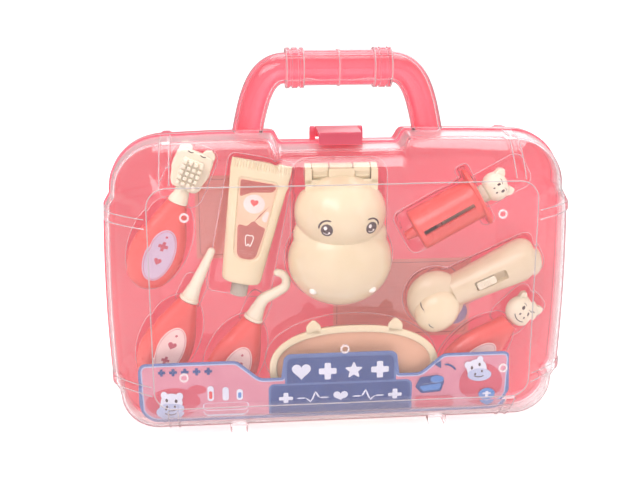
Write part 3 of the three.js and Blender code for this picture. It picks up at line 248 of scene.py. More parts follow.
def smoothCurve(knots, values, at):
    # Cubic pieces through the knots, with each knot's slope the mean slope of its two neighbours
    knots, values = np.asarray(knots, dtype=float), np.asarray(values, dtype=float)
    slope = np.gradient(values, knots)
    k = np.clip(np.searchsorted(knots, at, side="right") - 1, 0, len(knots) - 2)
    span = knots[k + 1] - knots[k]
    t = (at - knots[k]) / span
    return ((2 * t ** 3 - 3 * t ** 2 + 1) * values[k] + (t ** 3 - 2 * t ** 2 + t) * span * slope[k]
            + (3 * t ** 2 - 2 * t ** 3) * values[k + 1] + (t ** 3 - t ** 2) * span * slope[k + 1])


def softStep(value, edge, blur):
    # 0 below the edge and 1 above it, with 3 t^2 - 2 t^3 across the blur
    t = np.clip((value - edge) / blur + 0.5, 0, 1)
    return t * t * (3 - 2 * t)


def softMax(a, b, blur):
    # The larger of a and b, rounded over where they differ by less than the blur
    share = np.clip(0.5 + (a - b) / (2 * blur), 0, 1)
    return mixed(b, a, share) + blur * share * (1 - share)


def softMin(a, b, blur):
    return -softMax(-a, -b, blur)


def roundedOutline(corners):
    # Each corner [x, z, radius, steps] becomes an arc tangent to both of its sides
    places = np.array([corner[:2] for corner in corners], dtype=float)
    points = []
    for i, corner in enumerate(corners):
        radius = corner[2] if len(corner) > 2 else 0
        steps = corner[3] if len(corner) > 3 else 6
        if radius <= 0:
            points.append(places[i][None])
            continue
        before = places[i - 1] - places[i]
        after = places[(i + 1) % len(corners)] - places[i]
        before, after = before / np.hypot(*before), after / np.hypot(*after)
        half = math.acos(np.clip(before @ after, -1, 1)) / 2
        middle = (before + after) / np.hypot(*(before + after))
        centre = places[i] + middle * radius / math.sin(half)
        start = places[i] + before * radius / math.tan(half) - centre
        end = places[i] + after * radius / math.tan(half) - centre
        sweep = math.atan2(start[0] * end[1] - start[1] * end[0], start @ end)
        angle = math.atan2(start[1], start[0]) + sweep * np.arange(steps + 1) / steps
        points.append(centre + radius * np.stack([np.cos(angle), np.sin(angle)], axis=1))
    return np.concatenate(points)


def mirrorOf(corners):
    # The corners of an outline's other half, in the order that carries on from this half's last one
    return [(-x, *rest) for x, *rest in corners[::-1]]


def ovalOutline(halfX, halfZ, count=72, share=1.0):
    # x = a sign(cos u) |cos u|^s and z = b sign(sin u) |sin u|^s
    cos, sin = np.cos(around(count)), np.sin(around(count))
    return np.stack([halfX * np.sign(cos) * np.abs(cos) ** share,
                     halfZ * np.sign(sin) * np.abs(sin) ** share], axis=1)


def slabOutline(halfX, halfZ, radius, steps=6):
    signs = ((1, -1), (1, 1), (-1, 1), (-1, -1))
    return roundedOutline([(x * halfX, z * halfZ, radius, steps) for x, z in signs])


def plusOutline(half, arm, radius=0.3):
    quarter = [(half, -arm), (half, arm), (arm, arm)]
    corners = []
    for _ in range(4):
        corners += quarter
        quarter = [(-z, x) for x, z in quarter]
    return roundedOutline([(x, z, radius, 3) for x, z in corners])


def heartOutline(size, count=64):
    # x = 16 sin^3 t and z = 13 cos t - 5 cos 2t - 2 cos 3t - cos 4t, scaled to the size
    t = around(count)
    across = 16 * np.sin(t) ** 3
    up = 13 * np.cos(t) - 5 * np.cos(2 * t) - 2 * np.cos(3 * t) - np.cos(4 * t) + 2
    return np.stack([across, up], axis=1)[::-1] * size / 32


def starOutline(radius, points=5, innerShare=0.45):
    corner = np.arange(2 * points)
    angle = math.pi / 2 + corner * math.pi / points
    reach = np.where(corner % 2 == 0, radius, radius * innerShare)
    places = np.stack([reach * np.cos(angle), reach * np.sin(angle)], axis=1)
    return roundedOutline([(x, z, radius * 0.08, 3) for x, z in places])


def toothOutline(size):
    # The right half from the root's notch up to the crown's middle, and its mirror image
    right = [(0.12, -0.7, 0.08), (0.3, -0.7, 0.12), (0.5, 0.1, 0.2), (0.52, 0.62, 0.3), (0.25, 0.7, 0.1)]
    corners = [*right, (0, 0.6, 0.2), *mirrorOf(right), (0, -0.15, 0.08)]
    return roundedOutline([(x * size, z * size, r * size, 4) for x, z, r in corners])


def arcPath(centre, radius, start, end, count=16, flatten=1.0):
    angle = np.radians(np.linspace(start, end, count))
    return np.stack([radius * np.cos(angle), radius * flatten * np.sin(angle)], axis=1) + centre


def inset(outline, amount):
    # Each point moved inwards at right angles to the outline
    ahead, behind = np.roll(outline, -1, axis=0), np.roll(outline, 1, axis=0)
    tangent = headingOf(ahead - behind)
    normal = np.stack([tangent[:, 1], -tangent[:, 0]], axis=1)
    area = (outline[:, 0] * ahead[:, 1] - ahead[:, 0] * outline[:, 1]).sum()
    return outline - normal * np.sign(area) * amount


def distanceTo(outline, x, z):
    # Distance from each place to a closed outline, below zero inside it
    a, b = outline, np.roll(outline, -1, axis=0)
    px, pz = x[..., None] - a[:, 0], z[..., None] - a[:, 1]
    ex, ez = (b - a)[:, 0], (b - a)[:, 1]
    share = np.clip((px * ex + pz * ez) / np.maximum(ex * ex + ez * ez, 1e-12), 0, 1)
    gap = np.sqrt(((px - ex * share) ** 2 + (pz - ez * share) ** 2).min(axis=-1))
    crosses = ((a[:, 1] > z[..., None]) != (b[:, 1] > z[..., None])) & (
        px < ex * (pz / np.where(np.abs(ez) < 1e-12, 1e-12, ez)))
    return np.where(crosses.sum(axis=-1) % 2 == 1, -gap, gap)


# Skins from outlines, and marks that lie on a surface y = f(x, z)

def pillowSkin(outline, front, back, edge=0.6, steps=4):
    # The outline between two depths, its front and back edges rounded by a quarter circle
    turn = np.linspace(0, math.pi / 2, steps + 1)
    levels = [(edge * (1 - math.sin(a)), front + edge * (1 - math.cos(a))) for a in turn]
    levels += [(edge * (1 - math.cos(a)), back - edge * (1 - math.sin(a))) for a in turn]
    return skinThrough([flatRing(inset(outline, amount), y) for amount, y in levels])


def flatAt(y):
    return lambda x, z: np.full(np.shape(x), float(y))


def raised(surface, lift):
    return lambda x, z: surface(x, z) - lift


def decalOn(outline, centre, surface, thickness=0.12, rows=7):
    # A thin plate of the outline's shape that follows a surface and stands just clear of it
    shares = np.concatenate([[1.0, 1.0], np.linspace(0.985, 0.03, rows)])
    heights = np.concatenate([[-0.05, thickness * 0.6], np.full(rows, thickness)])
    middle = outline.mean(axis=0)
    rings = []
    for share, height in zip(shares, heights):
        x, z = (middle + (outline - middle) * share + np.asarray(centre)).T
        rings.append(np.stack([x, surface(x, z) - height, z], axis=1))
    return skinThrough(rings)


def decalInPlace(outline, surface, thickness, rows=7):
    middle = outline.mean(axis=0)
    return decalOn(outline - middle, middle, surface, thickness, rows)


def strokeOn(path, width, surface, thickness=0.12, closedLine=False, arcSteps=6):
    # A low rounded ridge along a path on a surface, tapered at its ends where it is open
    path = np.asarray(path, dtype=float)
    if closedLine:
        heading = headingOf(np.roll(path, -1, axis=0) - np.roll(path, 1, axis=0))
        half = np.full(len(path), width / 2)
    else:
        heading = headingOf(np.gradient(path, axis=0))
        way = np.linspace(-1, 1, len(path))
        half = width / 2 * np.sqrt(np.clip(1 - way ** 8, 0.02, 1))
    angle = np.linspace(0, math.pi, arcSteps + 1)
    spread = half[:, None] * np.cos(angle)
    x = path[:, :1] + heading[:, 1:] * spread
    z = path[:, 1:] - heading[:, :1] * spread
    y = surface(x, z) - thickness * np.sin(angle) * np.ones_like(spread)
    y[:, (0, -1)] += 0.05
    rings = np.stack([x, y, z], axis=2)
    return loopSkin(rings) if closedLine else skinThrough(rings)


# Materials

def fill(tree, node, values):
    # Each named input gets a value, or a link from another node's output
    for key, value in values.items():
        if isinstance(value, bpy.types.NodeSocket):
            tree.links.new(value, node.inputs[key])
        else:
            node.inputs[key].default_value = value


def addNode(tree, kind, values, **settings):
    made = tree.nodes.new(kind)
    for key, value in settings.items():
        setattr(made, key, value)
    fill(tree, made, values)
    return made


def newMaterial(name):
    material = bpy.data.materials.new(name)
    material.use_nodes = True
    return material, material.node_tree, material.node_tree.nodes["Principled BSDF"]


def placeOf(tree, output="Object"):
    return addNode(tree, "ShaderNodeTexCoord", {}).outputs[output]


def noiseOf(tree, place, scale, detail, roughness=0.5):
    values = {"Vector": place, "Scale": scale, "Detail": detail, "Roughness": roughness}
    return addNode(tree, "ShaderNodeTexNoise", values).outputs["Fac"]


def rangeOf(tree, value, fromMin, fromMax, toMin=0.0, toMax=1.0):
    values = {"Value": value, "From Min": fromMin, "From Max": fromMax, "To Min": toMin, "To Max": toMax}
    return addNode(tree, "ShaderNodeMapRange", values).outputs["Result"]


def mathOf(tree, operation, *values):
    return addNode(tree, "ShaderNodeMath", dict(enumerate(values)), operation=operation).outputs[0]


def bumpOf(tree, height, strength, distance):
    values = {"Height": height, "Strength": strength, "Distance": distance}
    return addNode(tree, "ShaderNodeBump", values).outputs["Normal"]


def mixColour(tree, share, first, second):
    return addNode(tree, "ShaderNodeMix", {0: share, 6: first, 7: second}, data_type="RGBA").outputs[2]


def mixShader(tree, share, first, second):
    return addNode(tree, "ShaderNodeMixShader", {0: share, 1: first, 2: second}).outputs[0]


def mouldedGroup():
    # Colour is mixed with Shade by a drifting noise, stretched from 0.3 to 0.7.
    # Roughness grows by Spread times that noise. Height is a fine grain
    group = bpy.data.node_groups.new("mouldedPlastic", "ShaderNodeTree")
    face = group.interface
    for label in ("Colour", "Shade"):
        face.new_socket(label, in_out="INPUT", socket_type="NodeSocketColor")
    for label, value in (("Drift Scale", 30.0), ("Grain Scale", 900.0), ("Roughness", 0.3), ("Spread", 0.08)):
        face.new_socket(label, in_out="INPUT", socket_type="NodeSocketFloat").default_value = value
    for label, kind in (("Colour", "Color"), ("Roughness", "Float"), ("Height", "Float")):
        face.new_socket(label, in_out="OUTPUT", socket_type="NodeSocket" + kind)
    given = group.nodes.new("NodeGroupInput").outputs
    place = placeOf(group)
    drift = noiseOf(group, place, given["Drift Scale"], 3.0, 0.55)
    fill(group, group.nodes.new("NodeGroupOutput"), {
        "Colour": mixColour(group, rangeOf(group, drift, 0.3, 0.7), given["Colour"], given["Shade"]),
        "Roughness": mathOf(group, "MULTIPLY_ADD", drift, given["Spread"], given["Roughness"]),
        "Height": noiseOf(group, place, given["Grain Scale"], 2.0, 0.6),
    })
    return group


def linear(colour):
    # Screen colour 0 to 255 made a linear one
    share = np.array(colour, dtype=float) / 255
    value = np.where(share <= 0.04045, share / 12.92, ((share + 0.055) / 1.055) ** 2.4)
    return (*value.tolist(), 1.0)


moulded = mouldedGroup()


def plastic(name, colour, shade, roughness, drift=30.0, grain=900.0, coat=0.0, subsurface=0.0, metallic=0.0,
            alpha=1.0):
    material, tree, shader = newMaterial(name)
    finish = addNode(tree, "ShaderNodeGroup", {
        "Colour": linear(colour), "Shade": linear(shade), "Drift Scale": drift, "Grain Scale": grain,
        "Roughness": roughness, "Spread": 0.08,
    }, node_tree=moulded).outputs
    fill(tree, shader, {
        "Base Color": finish["Colour"], "Roughness": finish["Roughness"],
        "Normal": bumpOf(tree, finish["Height"], 0.2, 0.0002),
        "Metallic": metallic, "Alpha": alpha, "Coat Weight": coat, "Coat Roughness": 0.08,
        "Subsurface Weight": subsurface, "Subsurface Radius": (1.0, 0.5, 0.4), "Subsurface Scale": 0.003,
    })
    return material


def clearPlastic(name, colour, roughness, hazeColour, hazeMost):
    # Clear plastic that lets the lamps' light through, with a glossy coat and a pale haze seen edge on
    material, tree, shader = newMaterial(name)
    place = placeOf(tree)
    haze = noiseOf(tree, place, 60.0, 4.0)
    ripple = noiseOf(tree, place, 25.0, 1.0)
    fill(tree, shader, {
        "Transmission Weight": 1.0, "Base Color": linear(colour), "IOR": 1.08,
        "Roughness": mathOf(tree, "MULTIPLY_ADD", haze, roughness, roughness * 0.4),
        "Normal": bumpOf(tree, ripple, 0.15, 0.0006), "Coat Weight": 1.0, "Coat Roughness": 0.03,
    })
    edge = addNode(tree, "ShaderNodeLayerWeight", {"Blend": 0.5}).outputs["Facing"]
    pale = addNode(tree, "ShaderNodeBsdfPrincipled", {"Roughness": 0.35, "Base Color": linear(hazeColour)})
    share = rangeOf(tree, edge, 0.5, 0.97, 0.02, hazeMost)
    hazed = mixShader(tree, share, shader.outputs[0], pale.outputs[0])
    shadow = addNode(tree, "ShaderNodeLightPath", {}).outputs["Is Shadow Ray"]
    through = addNode(tree, "ShaderNodeBsdfTransparent", {"Color": linear(colour)})
    surface = mixShader(tree, shadow, hazed, through.outputs[0])
    fill(tree, tree.nodes["Material Output"], {"Surface": surface})
    return material


finishes = {
    "shell": plastic("shellPink", (250, 112, 132), (246, 105, 126), 0.26, subsurface=0.25),
    "coral": plastic("toolCoral", (233, 84, 76), (222, 70, 64), 0.24, coat=0.3),
    "cream": plastic("jawCream", (234, 221, 188), (224, 208, 170), 0.16, coat=0.4, subsurface=0.15),
    "light": plastic("lightCream", (222, 206, 176), (212, 194, 160), 0.24, coat=0.3),
    "ivory": plastic("tipIvory", (236, 228, 206), (228, 216, 190), 0.3, subsurface=0.15),
    "tooth": plastic("toothEnamel", (250, 248, 240), (244, 240, 226), 0.18, coat=0.5),
    "grey": plastic("capGrey", (186, 176, 160), (170, 160, 145), 0.4),
    "seal": plastic("sealBrown", (150, 74, 66), (134, 62, 56), 0.6),
    "steel": plastic("pinSteel", (190, 192, 196), (176, 178, 184), 0.3, metallic=0.95),
    "gum": plastic("gumPink", (226, 140, 136), (214, 122, 120), 0.3, coat=0.2),
    # Painted shade: the tan of the lining inside the dish stands for the shade in its hollow
    "tan": plastic("dishShadeTan", (226, 176, 142), (214, 160, 128), 0.3),
    "ink": plastic("eyeInk", (74, 44, 48), (58, 34, 38), 0.3),
    "glint": plastic("printWhite", (252, 250, 246), (246, 242, 236), 0.4),
    # Painted highlight: a pale white for the cover's edge lines and its rings, where they catch the light
    "highlightWhite": plastic("coverPaintedHighlight", (255, 250, 250), (250, 238, 240), 0.3, coat=0.4, alpha=0.62),
    # Painted highlight: pale pink lines for the light caught by the tray's pocket walls
    "rimHighlight": plastic("trayRimHighlights", (255, 214, 218), (250, 200, 206), 0.25, coat=0.4, alpha=0.5),
    "clear": clearPlastic("coverClear", (255, 250, 251), 0.03, (255, 238, 240), 0.75),
    "sheet": clearPlastic("trayClear", (255, 250, 249), 0.05, (255, 176, 184), 0.5),
    "paper": plastic("leafletPaper", (232, 164, 148), (224, 150, 134), 0.7, drift=50.0, grain=2500.0),
    "cardSlate": plastic("cardSlate", (98, 122, 178), (90, 112, 168), 0.35, drift=80.0),
    "print": plastic("labelPrint", (206, 88, 104), (192, 76, 96), 0.45, drift=90.0),
}
labelInks = {
    "lilac": ("labelLilac", (208, 186, 208), (196, 172, 198)),
    "blush": ("labelBlush", (250, 220, 214), (244, 206, 200)),
    "brown": ("labelBrown", (188, 104, 92), (172, 88, 78)),
    "red": ("labelRed", (226, 92, 90), (214, 78, 78)),
    "labelTan": ("labelTan", (232, 198, 168), (222, 184, 152)),
}
cardInks = {
    "mauve": ("cardMauve", (212, 142, 160), (202, 128, 148)),
    "rose": ("cardRose", (206, 84, 104), (192, 70, 92)),
    "slate": ("plateSlate", (92, 118, 172), (82, 106, 160)),
    "navy": ("plateNavy", (44, 76, 140), (36, 64, 126)),
    "blue": ("cardBlue", (86, 140, 206), (72, 124, 192)),
    "haze": ("cardHaze", (222, 228, 240), (208, 216, 232)),
    "mist": ("cardMist", (186, 198, 226), (172, 186, 216)),
}
leafletInks = {
    "faded": ("leafletInk", (178, 100, 92), (166, 88, 82)),
    "violet": ("leafletViolet", (126, 104, 166), (112, 90, 152)),
}
for inks, roughness, drift in ((labelInks, 0.4, 90.0), (cardInks, 0.35, 60.0), (leafletInks, 0.6, 60.0)):
    for finish, (name, colour, shade) in inks.items():
        finishes[finish] = plastic(name, colour, shade, roughness, drift)


def paintedGlow(finish, colour, strength, fadeFrom=176, fadeTo=192):
    # Painted light: a glow that stands in for light through thin plastic and paper from the pale room behind,
    # full on the faces that look to the front, none on those that look back, and fading out between two
    # heights
    tree = finishes[finish].node_tree
    height = addNode(tree, "ShaderNodeSeparateXYZ", {0: placeOf(tree)}).outputs["Z"]
    looksBack = addNode(tree, "ShaderNodeSeparateXYZ", {0: placeOf(tree, "Normal")}).outputs["Y"]
    low = rangeOf(tree, height, fadeFrom * mm, fadeTo * mm, 1.0, 0.0)
    inFront = rangeOf(tree, looksBack, -0.1, 0.4, 1.0, 0.0)
    light = mixColour(tree, mathOf(tree, "MULTIPLY", low, inFront), (0, 0, 0, 1), linear(colour))
    fill(tree, tree.nodes["Principled BSDF"], {"Emission Color": light, "Emission Strength": strength})


# Painted light: the shell, the leaflets' paper and their inks glow, though none is a lamp
paintedGlow("shell", (255, 106, 126), 0.3)
paintedGlow("paper", (224, 134, 122), 0.22)
paintedGlow("faded", (190, 98, 92), 0.2)
paintedGlow("violet", (130, 96, 160), 0.3)
print("materials made:", len(finishes))

# Case: two shells that meet at y = 0, each with half of the carry handle

case = {
    "width": 280, "height": 181.98, "halfDepth": 42, "foot": 5, "wall": 2,
    "flangeDepth": 3, "flangeStep": 1.2, "flangeLip": 0.3, "wallDepth": 16,
    "draft": 0.04, "shoulderPower": 1.5,
    "panelSide": 29, "panelEnd": 25, "panelRadius": 11, "panelLip": 0.35, "panelShares": (0.985, 1.02, 1.1),
    "topRadius": 32, "lowRadius": 24,
    "bulge": 1.5, "guardStep": 5, "guardRise": 6, "guardLow": 32, "guardHigh": 141, "guardRadius": 3,
    "recessTop": 38, "recessFloor": 34.5, "recessDepth": 7, "recessFillet": 3,
    "crown": 2.5, "crownRun": 40, "crownShare": 0.2,
    "strapWidth": 5.5, "strapHeight": 1.0, "strapBlur": 0.8, "strapAcross": 101, "strapInset": 4,
    "spacing": 1.0, "wallSteps": 6, "shoulderSteps": 24, "rimGap": 0.12,
}
# Where the middles of the straps on the sides lie, measured up from the case's bottom
strapHeights = (case["guardLow"] + case["strapInset"], case["guardHigh"] - case["strapInset"])


def caseOutline(share, offset):
    # Half of the case's outline, share 0 at the rim and 1 at the flat panel, moved inwards by the offset
    c = case
    relief = 1 - share
    half = c["width"] / 2 - c["panelSide"] * share - offset
    cornerHalf = half - c["guardStep"] * relief
    bottom = c["panelEnd"] * share + offset
    top = c["height"] - c["panelEnd"] * share - offset
    lowRadius = mixed(c["lowRadius"], c["panelRadius"], share) - offset
    highRadius = mixed(c["topRadius"], c["panelRadius"], share) - offset
    lowStep = bottom + lowRadius + c["guardLow"] - c["guardRise"] - c["lowRadius"]
    cornerTop = top - c["crown"] * relief
    guardToTop = c["height"] - c["crown"] - c["topRadius"] - c["guardHigh"] - c["guardRise"]
    highStep = cornerTop - highRadius - guardToTop
    sideLow, sideHigh = lowStep + c["guardRise"], highStep - c["guardRise"]
    side = [(half - c["bulge"] * relief * (2 * way - 1) ** 2, mixed(sideLow, sideHigh, way))
            for way in np.linspace(0, 1, 9)]
    recessFloor = top - c["recessDepth"] * relief
    corners = [
        (0, bottom), (cornerHalf, bottom, lowRadius, 18), (cornerHalf, lowStep, c["guardRadius"], 5), *side,
        (cornerHalf, highStep, c["guardRadius"], 5), (cornerHalf, cornerTop, highRadius, 20),
        (c["recessTop"] + c["crownRun"], top - c["crown"] * c["crownShare"] * relief),
        (c["recessTop"] + offset, top, c["recessFillet"], 6),
        (c["recessFloor"] + offset, recessFloor, c["recessFillet"], 6), (0, recessFloor),
    ]
    return roundedOutline(corners)[1:-1]


def evenSteps(outline, spacing):
    # Index positions that cut each side of the outline into pieces no longer than the spacing
    lengths = np.hypot(*np.diff(outline, axis=0).T)
    counts = np.maximum(1, np.ceil(lengths / spacing)).astype(int)
    starts = [k + np.arange(n) / n for k, n in enumerate(counts)]
    return np.concatenate([*starts, [len(outline) - 1]])


rimSteps = evenSteps(caseOutline(0, 0), case["spacing"])


def wholeOutline(share, offset):
    # The half outline resampled at even steps of the rim's length, and its mirror image
    half = caseOutline(share, offset)
    line = np.stack([np.interp(rimSteps, np.arange(len(half)), half[:, k]) for k in (0, 1)], axis=1)
    return np.concatenate([line, line[::-1] * (-1, 1)])


def strapMask(points):
    # 1 on the straps that frame the corners, 0 elsewhere, with a soft edge
    c = case
    across, height = np.abs(points[..., 0]), points[..., 2]

    def beyond(value, edge):
        return softStep(value, edge, c["strapBlur"])

    def strip(value, middle):
        return 1 - beyond(np.abs(value - middle), c["strapWidth"] / 2)

    sides = np.maximum(*(strip(height, middle) for middle in strapHeights))
    sides = sides * beyond(across, c["width"] / 2 - c["panelSide"] + 1)
    ends = np.maximum(1 - beyond(height, c["panelEnd"] - 1), beyond(height, c["height"] - c["panelEnd"] + 1))
    return np.maximum(sides, strip(across, c["strapAcross"]) * ends)


def shellStations():
    # Depth, share and step of the outer skin: rim, flange, drafted wall, shoulder up to the panel, and the
    # panel's rounded edge, whose stations lean in a little and share their depth
    c = case
    way = np.linspace(0, 1, c["shoulderSteps"] + 1)[1:]
    rim = [0, c["flangeDepth"] - c["flangeLip"], c["flangeDepth"], c["flangeDepth"]]
    rimStep = [0, 0, c["flangeLip"], c["flangeStep"]]
    wall = np.linspace(c["flangeDepth"] + 0.4, c["wallDepth"], c["wallSteps"])
    shoulder = mixed(c["wallDepth"], c["halfDepth"], way)[:-1]
    panel = [c["halfDepth"] - c["panelLip"], c["halfDepth"], c["halfDepth"]]
    depth = np.concatenate([rim, wall, shoulder, panel])
    lean = mixed(c["draft"], 1, way ** c["shoulderPower"])[:-1]
    share = np.concatenate([[0] * len(rim), np.linspace(0, c["draft"], len(wall)), lean, c["panelShares"]])
    shoulderStep = (c["flangeStep"] * (1 - way))[:-1]
    step = np.concatenate([rimStep, np.full(len(wall), c["flangeStep"]), shoulderStep, [0] * len(panel)])
    return depth, share, step


def shellRings(side, depth, share, offset):
    return np.stack([flatRing(wholeOutline(s, t), side * d) for d, s, t in zip(depth, share, offset)])


def shellSkin(side):
    # Outer rings from the panel to the rim, then inner rings back to the panel, as one closed skin
    c = case
    depth, share, step = shellStations()
    outer = shellRings(side, depth, share, step)
    normal = np.cross(np.roll(outer, -1, axis=1) - np.roll(outer, 1, axis=1), np.gradient(outer, axis=0))
    normal /= np.maximum(np.linalg.norm(normal, axis=2, keepdims=True), 1e-9)
    away = np.sign((normal * (outer - (0, 0, c["height"] / 2))).sum(axis=2, keepdims=True))
    strapped = np.clip(depth / c["flangeDepth"] - 1, 0, 1) * (depth < c["halfDepth"] - 0.1)
    outer = outer + normal * away * strapMask(outer)[..., None] * c["strapHeight"] * strapped[:, None, None]
    thin = (c["halfDepth"] - c["wall"]) / c["halfDepth"]
    innerStep = np.maximum(step, c["flangeStep"] * (depth < c["wallDepth"]))
    inner = shellRings(side, depth * thin, share, innerStep + c["wall"])
    rings = np.concatenate([outer[::-1], inner])
    rings[..., 1] += side * c["rimGap"] * (np.abs(rings[..., 1]) < c["flangeDepth"] - 1)
    return moved(skinThrough(rings), z=c["foot"])


grip = {
    "height": 38, "baseHalf": 53.5, "armHalf": 9, "radius": 10.3, "rise": 0.62, "sink": 2.2,
    "collarRadius": 11.8, "collarInner": 20, "collarWidth": 11, "collarEdge": 0.5,
    "groove": 0.9, "grooveShares": (0.22, 0.64), "grooveWidth": 1.5, "grooveSlope": 0.2,
    "beadStart": 1.0, "beadEnd": 0.2, "armSteps": 26, "arcSteps": 14,
}


def gripPath():
    # Cubic Bezier from the left base to the collar, then straight along the grip, mirrored on the right
    g = grip
    outer, inner, edge = -g["collarInner"] - g["collarWidth"], -g["collarInner"], g["collarEdge"]
    base = np.array([-g["baseHalf"], 0.0])
    shoulder = np.array([outer, g["height"]])
    lean = np.array([-g["baseHalf"] + g["armHalf"] / 2, g["height"] * g["rise"]])
    bend = np.array([-g["baseHalf"] + g["armHalf"], g["height"]])
    t = np.linspace(0, 1, g["armSteps"])[:, None]
    arm = (1 - t) ** 3 * base + 3 * t * (1 - t) ** 2 * lean + 3 * t ** 2 * (1 - t) * bend + t ** 3 * shoulder
    top, floor, bead = g["collarRadius"], g["collarRadius"] - g["groove"], g["radius"] + g["groove"] / 2
    slope, width = g["grooveSlope"], g["grooveWidth"]
    straight = [(outer, g["armHalf"]), (outer, top - edge), (outer + edge, top)]
    for share in g["grooveShares"]:
        start = outer + g["collarWidth"] * share
        end = start + width
        straight += [(start, top), (start + slope, floor), (end - slope, floor), (end, top)]
    straight += [(inner - edge, top), (inner, top - edge), (inner, g["radius"]), (inner / 2, g["radius"]),
                 (-g["beadStart"], g["radius"]), (-g["beadStart"] + slope, bead), (-g["beadEnd"], bead)]
    path = np.concatenate([arm, [(x, g["height"]) for x, _ in straight]])
    radius = np.concatenate([np.full(len(arm), g["armHalf"]), [r for _, r in straight]])
    heading = np.concatenate([headingOf(np.gradient(arm, axis=0)), np.tile([1.0, 0.0], (len(straight), 1))])
    path = np.concatenate([path, path[::-1] * (-1, 1)])
    heading = np.concatenate([heading, heading[::-1] * (1, -1)])
    return path, heading, np.concatenate([radius, radius[::-1]])


def gripSkin(side):
    # A half round channel carried along the path
    g = grip
    path, heading, radius = gripPath()
    across = np.stack([-heading[:, 1], heading[:, 0]], axis=1)
    angle = np.linspace(0, math.pi, g["arcSteps"] + 1)
    outside, inside = radius[:, None], np.full((len(radius), 1), g["armHalf"] - case["wall"])
    spread = np.concatenate([outside * np.cos(angle), (inside * np.cos(angle))[:, ::-1]], axis=1)
    depth = np.concatenate([outside * np.sin(angle), (inside * np.sin(angle))[:, ::-1]], axis=1)
    place = path[:, None] + across[:, None] * spread[..., None]
    rings = np.stack([place[..., 0], side * np.maximum(depth, case["rimGap"]), place[..., 1]], axis=2)
    return moved(bandSkin(rings), z=case["foot"] + case["height"] - g["sink"])


hardware = {
    "footWidth": 10, "footFlare": 1, "footStart": 5, "footEnd": 15.5,
    "coverFoot": 62, "rearFoot": 78, "sink": 2.2,
    "bar": 1.1, "knuckle": 2.35, "clip": 8, "lug": 3, "gap": 0.3, "running": 0.15, "snap": 0.75,
    "latchPivot": 9.5, "latchWidth": 25,
}
# Feet, lugs and clips run this far up, into the shell's wall
rootHeight = case["foot"] + hardware["sink"]


def footSkins(side, across):
    h = hardware
    half, flared = h["footWidth"] / 2, h["footWidth"] / 2 + h["footFlare"]
    return [plateSkin(roundedOutline([
        (x - half, 0, 1, 4), (x + half, 0, 1, 4), (x + flared, rootHeight), (x - flared, rootHeight)]),
        side * h["footStart"], side * h["footEnd"]) for x in (-across, across)]


def spans(middle, inner, outer):
    # The two stretches, left and right, between two distances from a middle
    return [(middle - outer, middle - inner), (middle + inner, middle + outer)]


def hingeLugSkins():
    h = hardware
    inner, pivot = h["clip"] / 2 + h["gap"], h["knuckle"]
    outer = inner + h["lug"]
    skins = []
    for x in (-h["coverFoot"], h["coverFoot"]):
        skins.append(barSkin(h["bar"], x - outer, x + outer, 0, pivot))
        for x0, x1 in spans(x, inner, outer):
            skins.append(barSkin(h["knuckle"], x0, x1, 0, pivot))
            skins.append(boxSkin(x0, x1, h["gap"], h["footStart"] - h["gap"], pivot, rootHeight))
    return skins


def clipSkins(x):
    # A C-shaped section, open downwards, carried along the clip's width, with a web up to the cover
    h = hardware
    half, pivot, bore = h["clip"] / 2, h["knuckle"], h["bar"] + h["running"]
    opening = math.asin(h["bar"] * h["snap"] / bore)
    angle = np.linspace(-math.pi / 2 + opening, 1.5 * math.pi - opening, 40)
    arc = np.stack([np.cos(angle), np.sin(angle)], axis=1)
    ring = np.concatenate([h["knuckle"] * arc, bore * arc[::-1]]) + (0, pivot)
    clip = bandSkin([np.column_stack([np.full(len(ring), x + hand * half), ring]) for hand in bothHands])
    web = boxSkin(x - half, x + half, -h["footStart"] - 1, -h["bar"] - 0.6, pivot, rootHeight)
    return [clip, web]


def latchLugSkins():
    h, c = hardware, case
    radius = (c["recessDepth"] - h["gap"]) / 2
    pivot = c["foot"] + c["height"] - c["recessDepth"] + h["gap"] + radius
    inner = h["latchWidth"] / 2 + h["gap"]
    outer = inner + h["lug"]
    skins = [barSkin(h["bar"], -outer, outer, h["latchPivot"], pivot)]
    for x0, x1 in spans(0, inner, outer):
        skins.append(barSkin(radius, x0, x1, h["latchPivot"], pivot))
        front, back = h["latchPivot"] - radius, h["latchPivot"] + radius
        skins.append(boxSkin(x0, x1, front, back, pivot - radius - 2, pivot))
    return skins


def buildCase():
    rear = makePiece("rearShellFinished", shellSkin(1), "shell", "case", 28)
    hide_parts("rear_shell")
    front = makePiece("coverFinished", shellSkin(-1), "clear", "cover", 28)
    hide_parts("front_cover")
    makePiece("rearGrip", gripSkin(1), "shell", "case", 35)
    makePiece("coverGrip", gripSkin(-1), "clear", "cover", 35)
    h = hardware
    rearBits = [*footSkins(1, h["rearFoot"]), *hingeLugSkins(), *latchLugSkins()]
    bevelled(makePiece("rearFeetAndLugs", joined(*rearBits), "shell", "case"), 0.25)
    coverBits = [*footSkins(-1, h["coverFoot"]), *clipSkins(-h["coverFoot"]), *clipSkins(h["coverFoot"])]
    bevelled(makePiece("coverFeetAndClips", joined(*coverBits), "clear", "cover"), 0.25)
    smoothed("latch", "shell", "case_latch")
    print("case built")


buildCase()


# Shared forms of the tools

def fromTool(place, x, z):
    # From a tool's own frame, with its length along Z, to the case's frame
    across, up, lean, _ = place
    turn = math.radians(lean)
    return (across + x * math.cos(turn) + z * math.sin(turn),
            up + case["foot"] - x * math.sin(turn) + z * math.cos(turn))


def toTool(place, x, z):
    # The other way round, from places measured up from the case's bottom
    across, up, lean, _ = place
    turn = math.radians(lean)
    dx, dz = x - across, z - up
    return dx * math.cos(turn) - dz * math.sin(turn), dx * math.sin(turn) + dz * math.cos(turn)


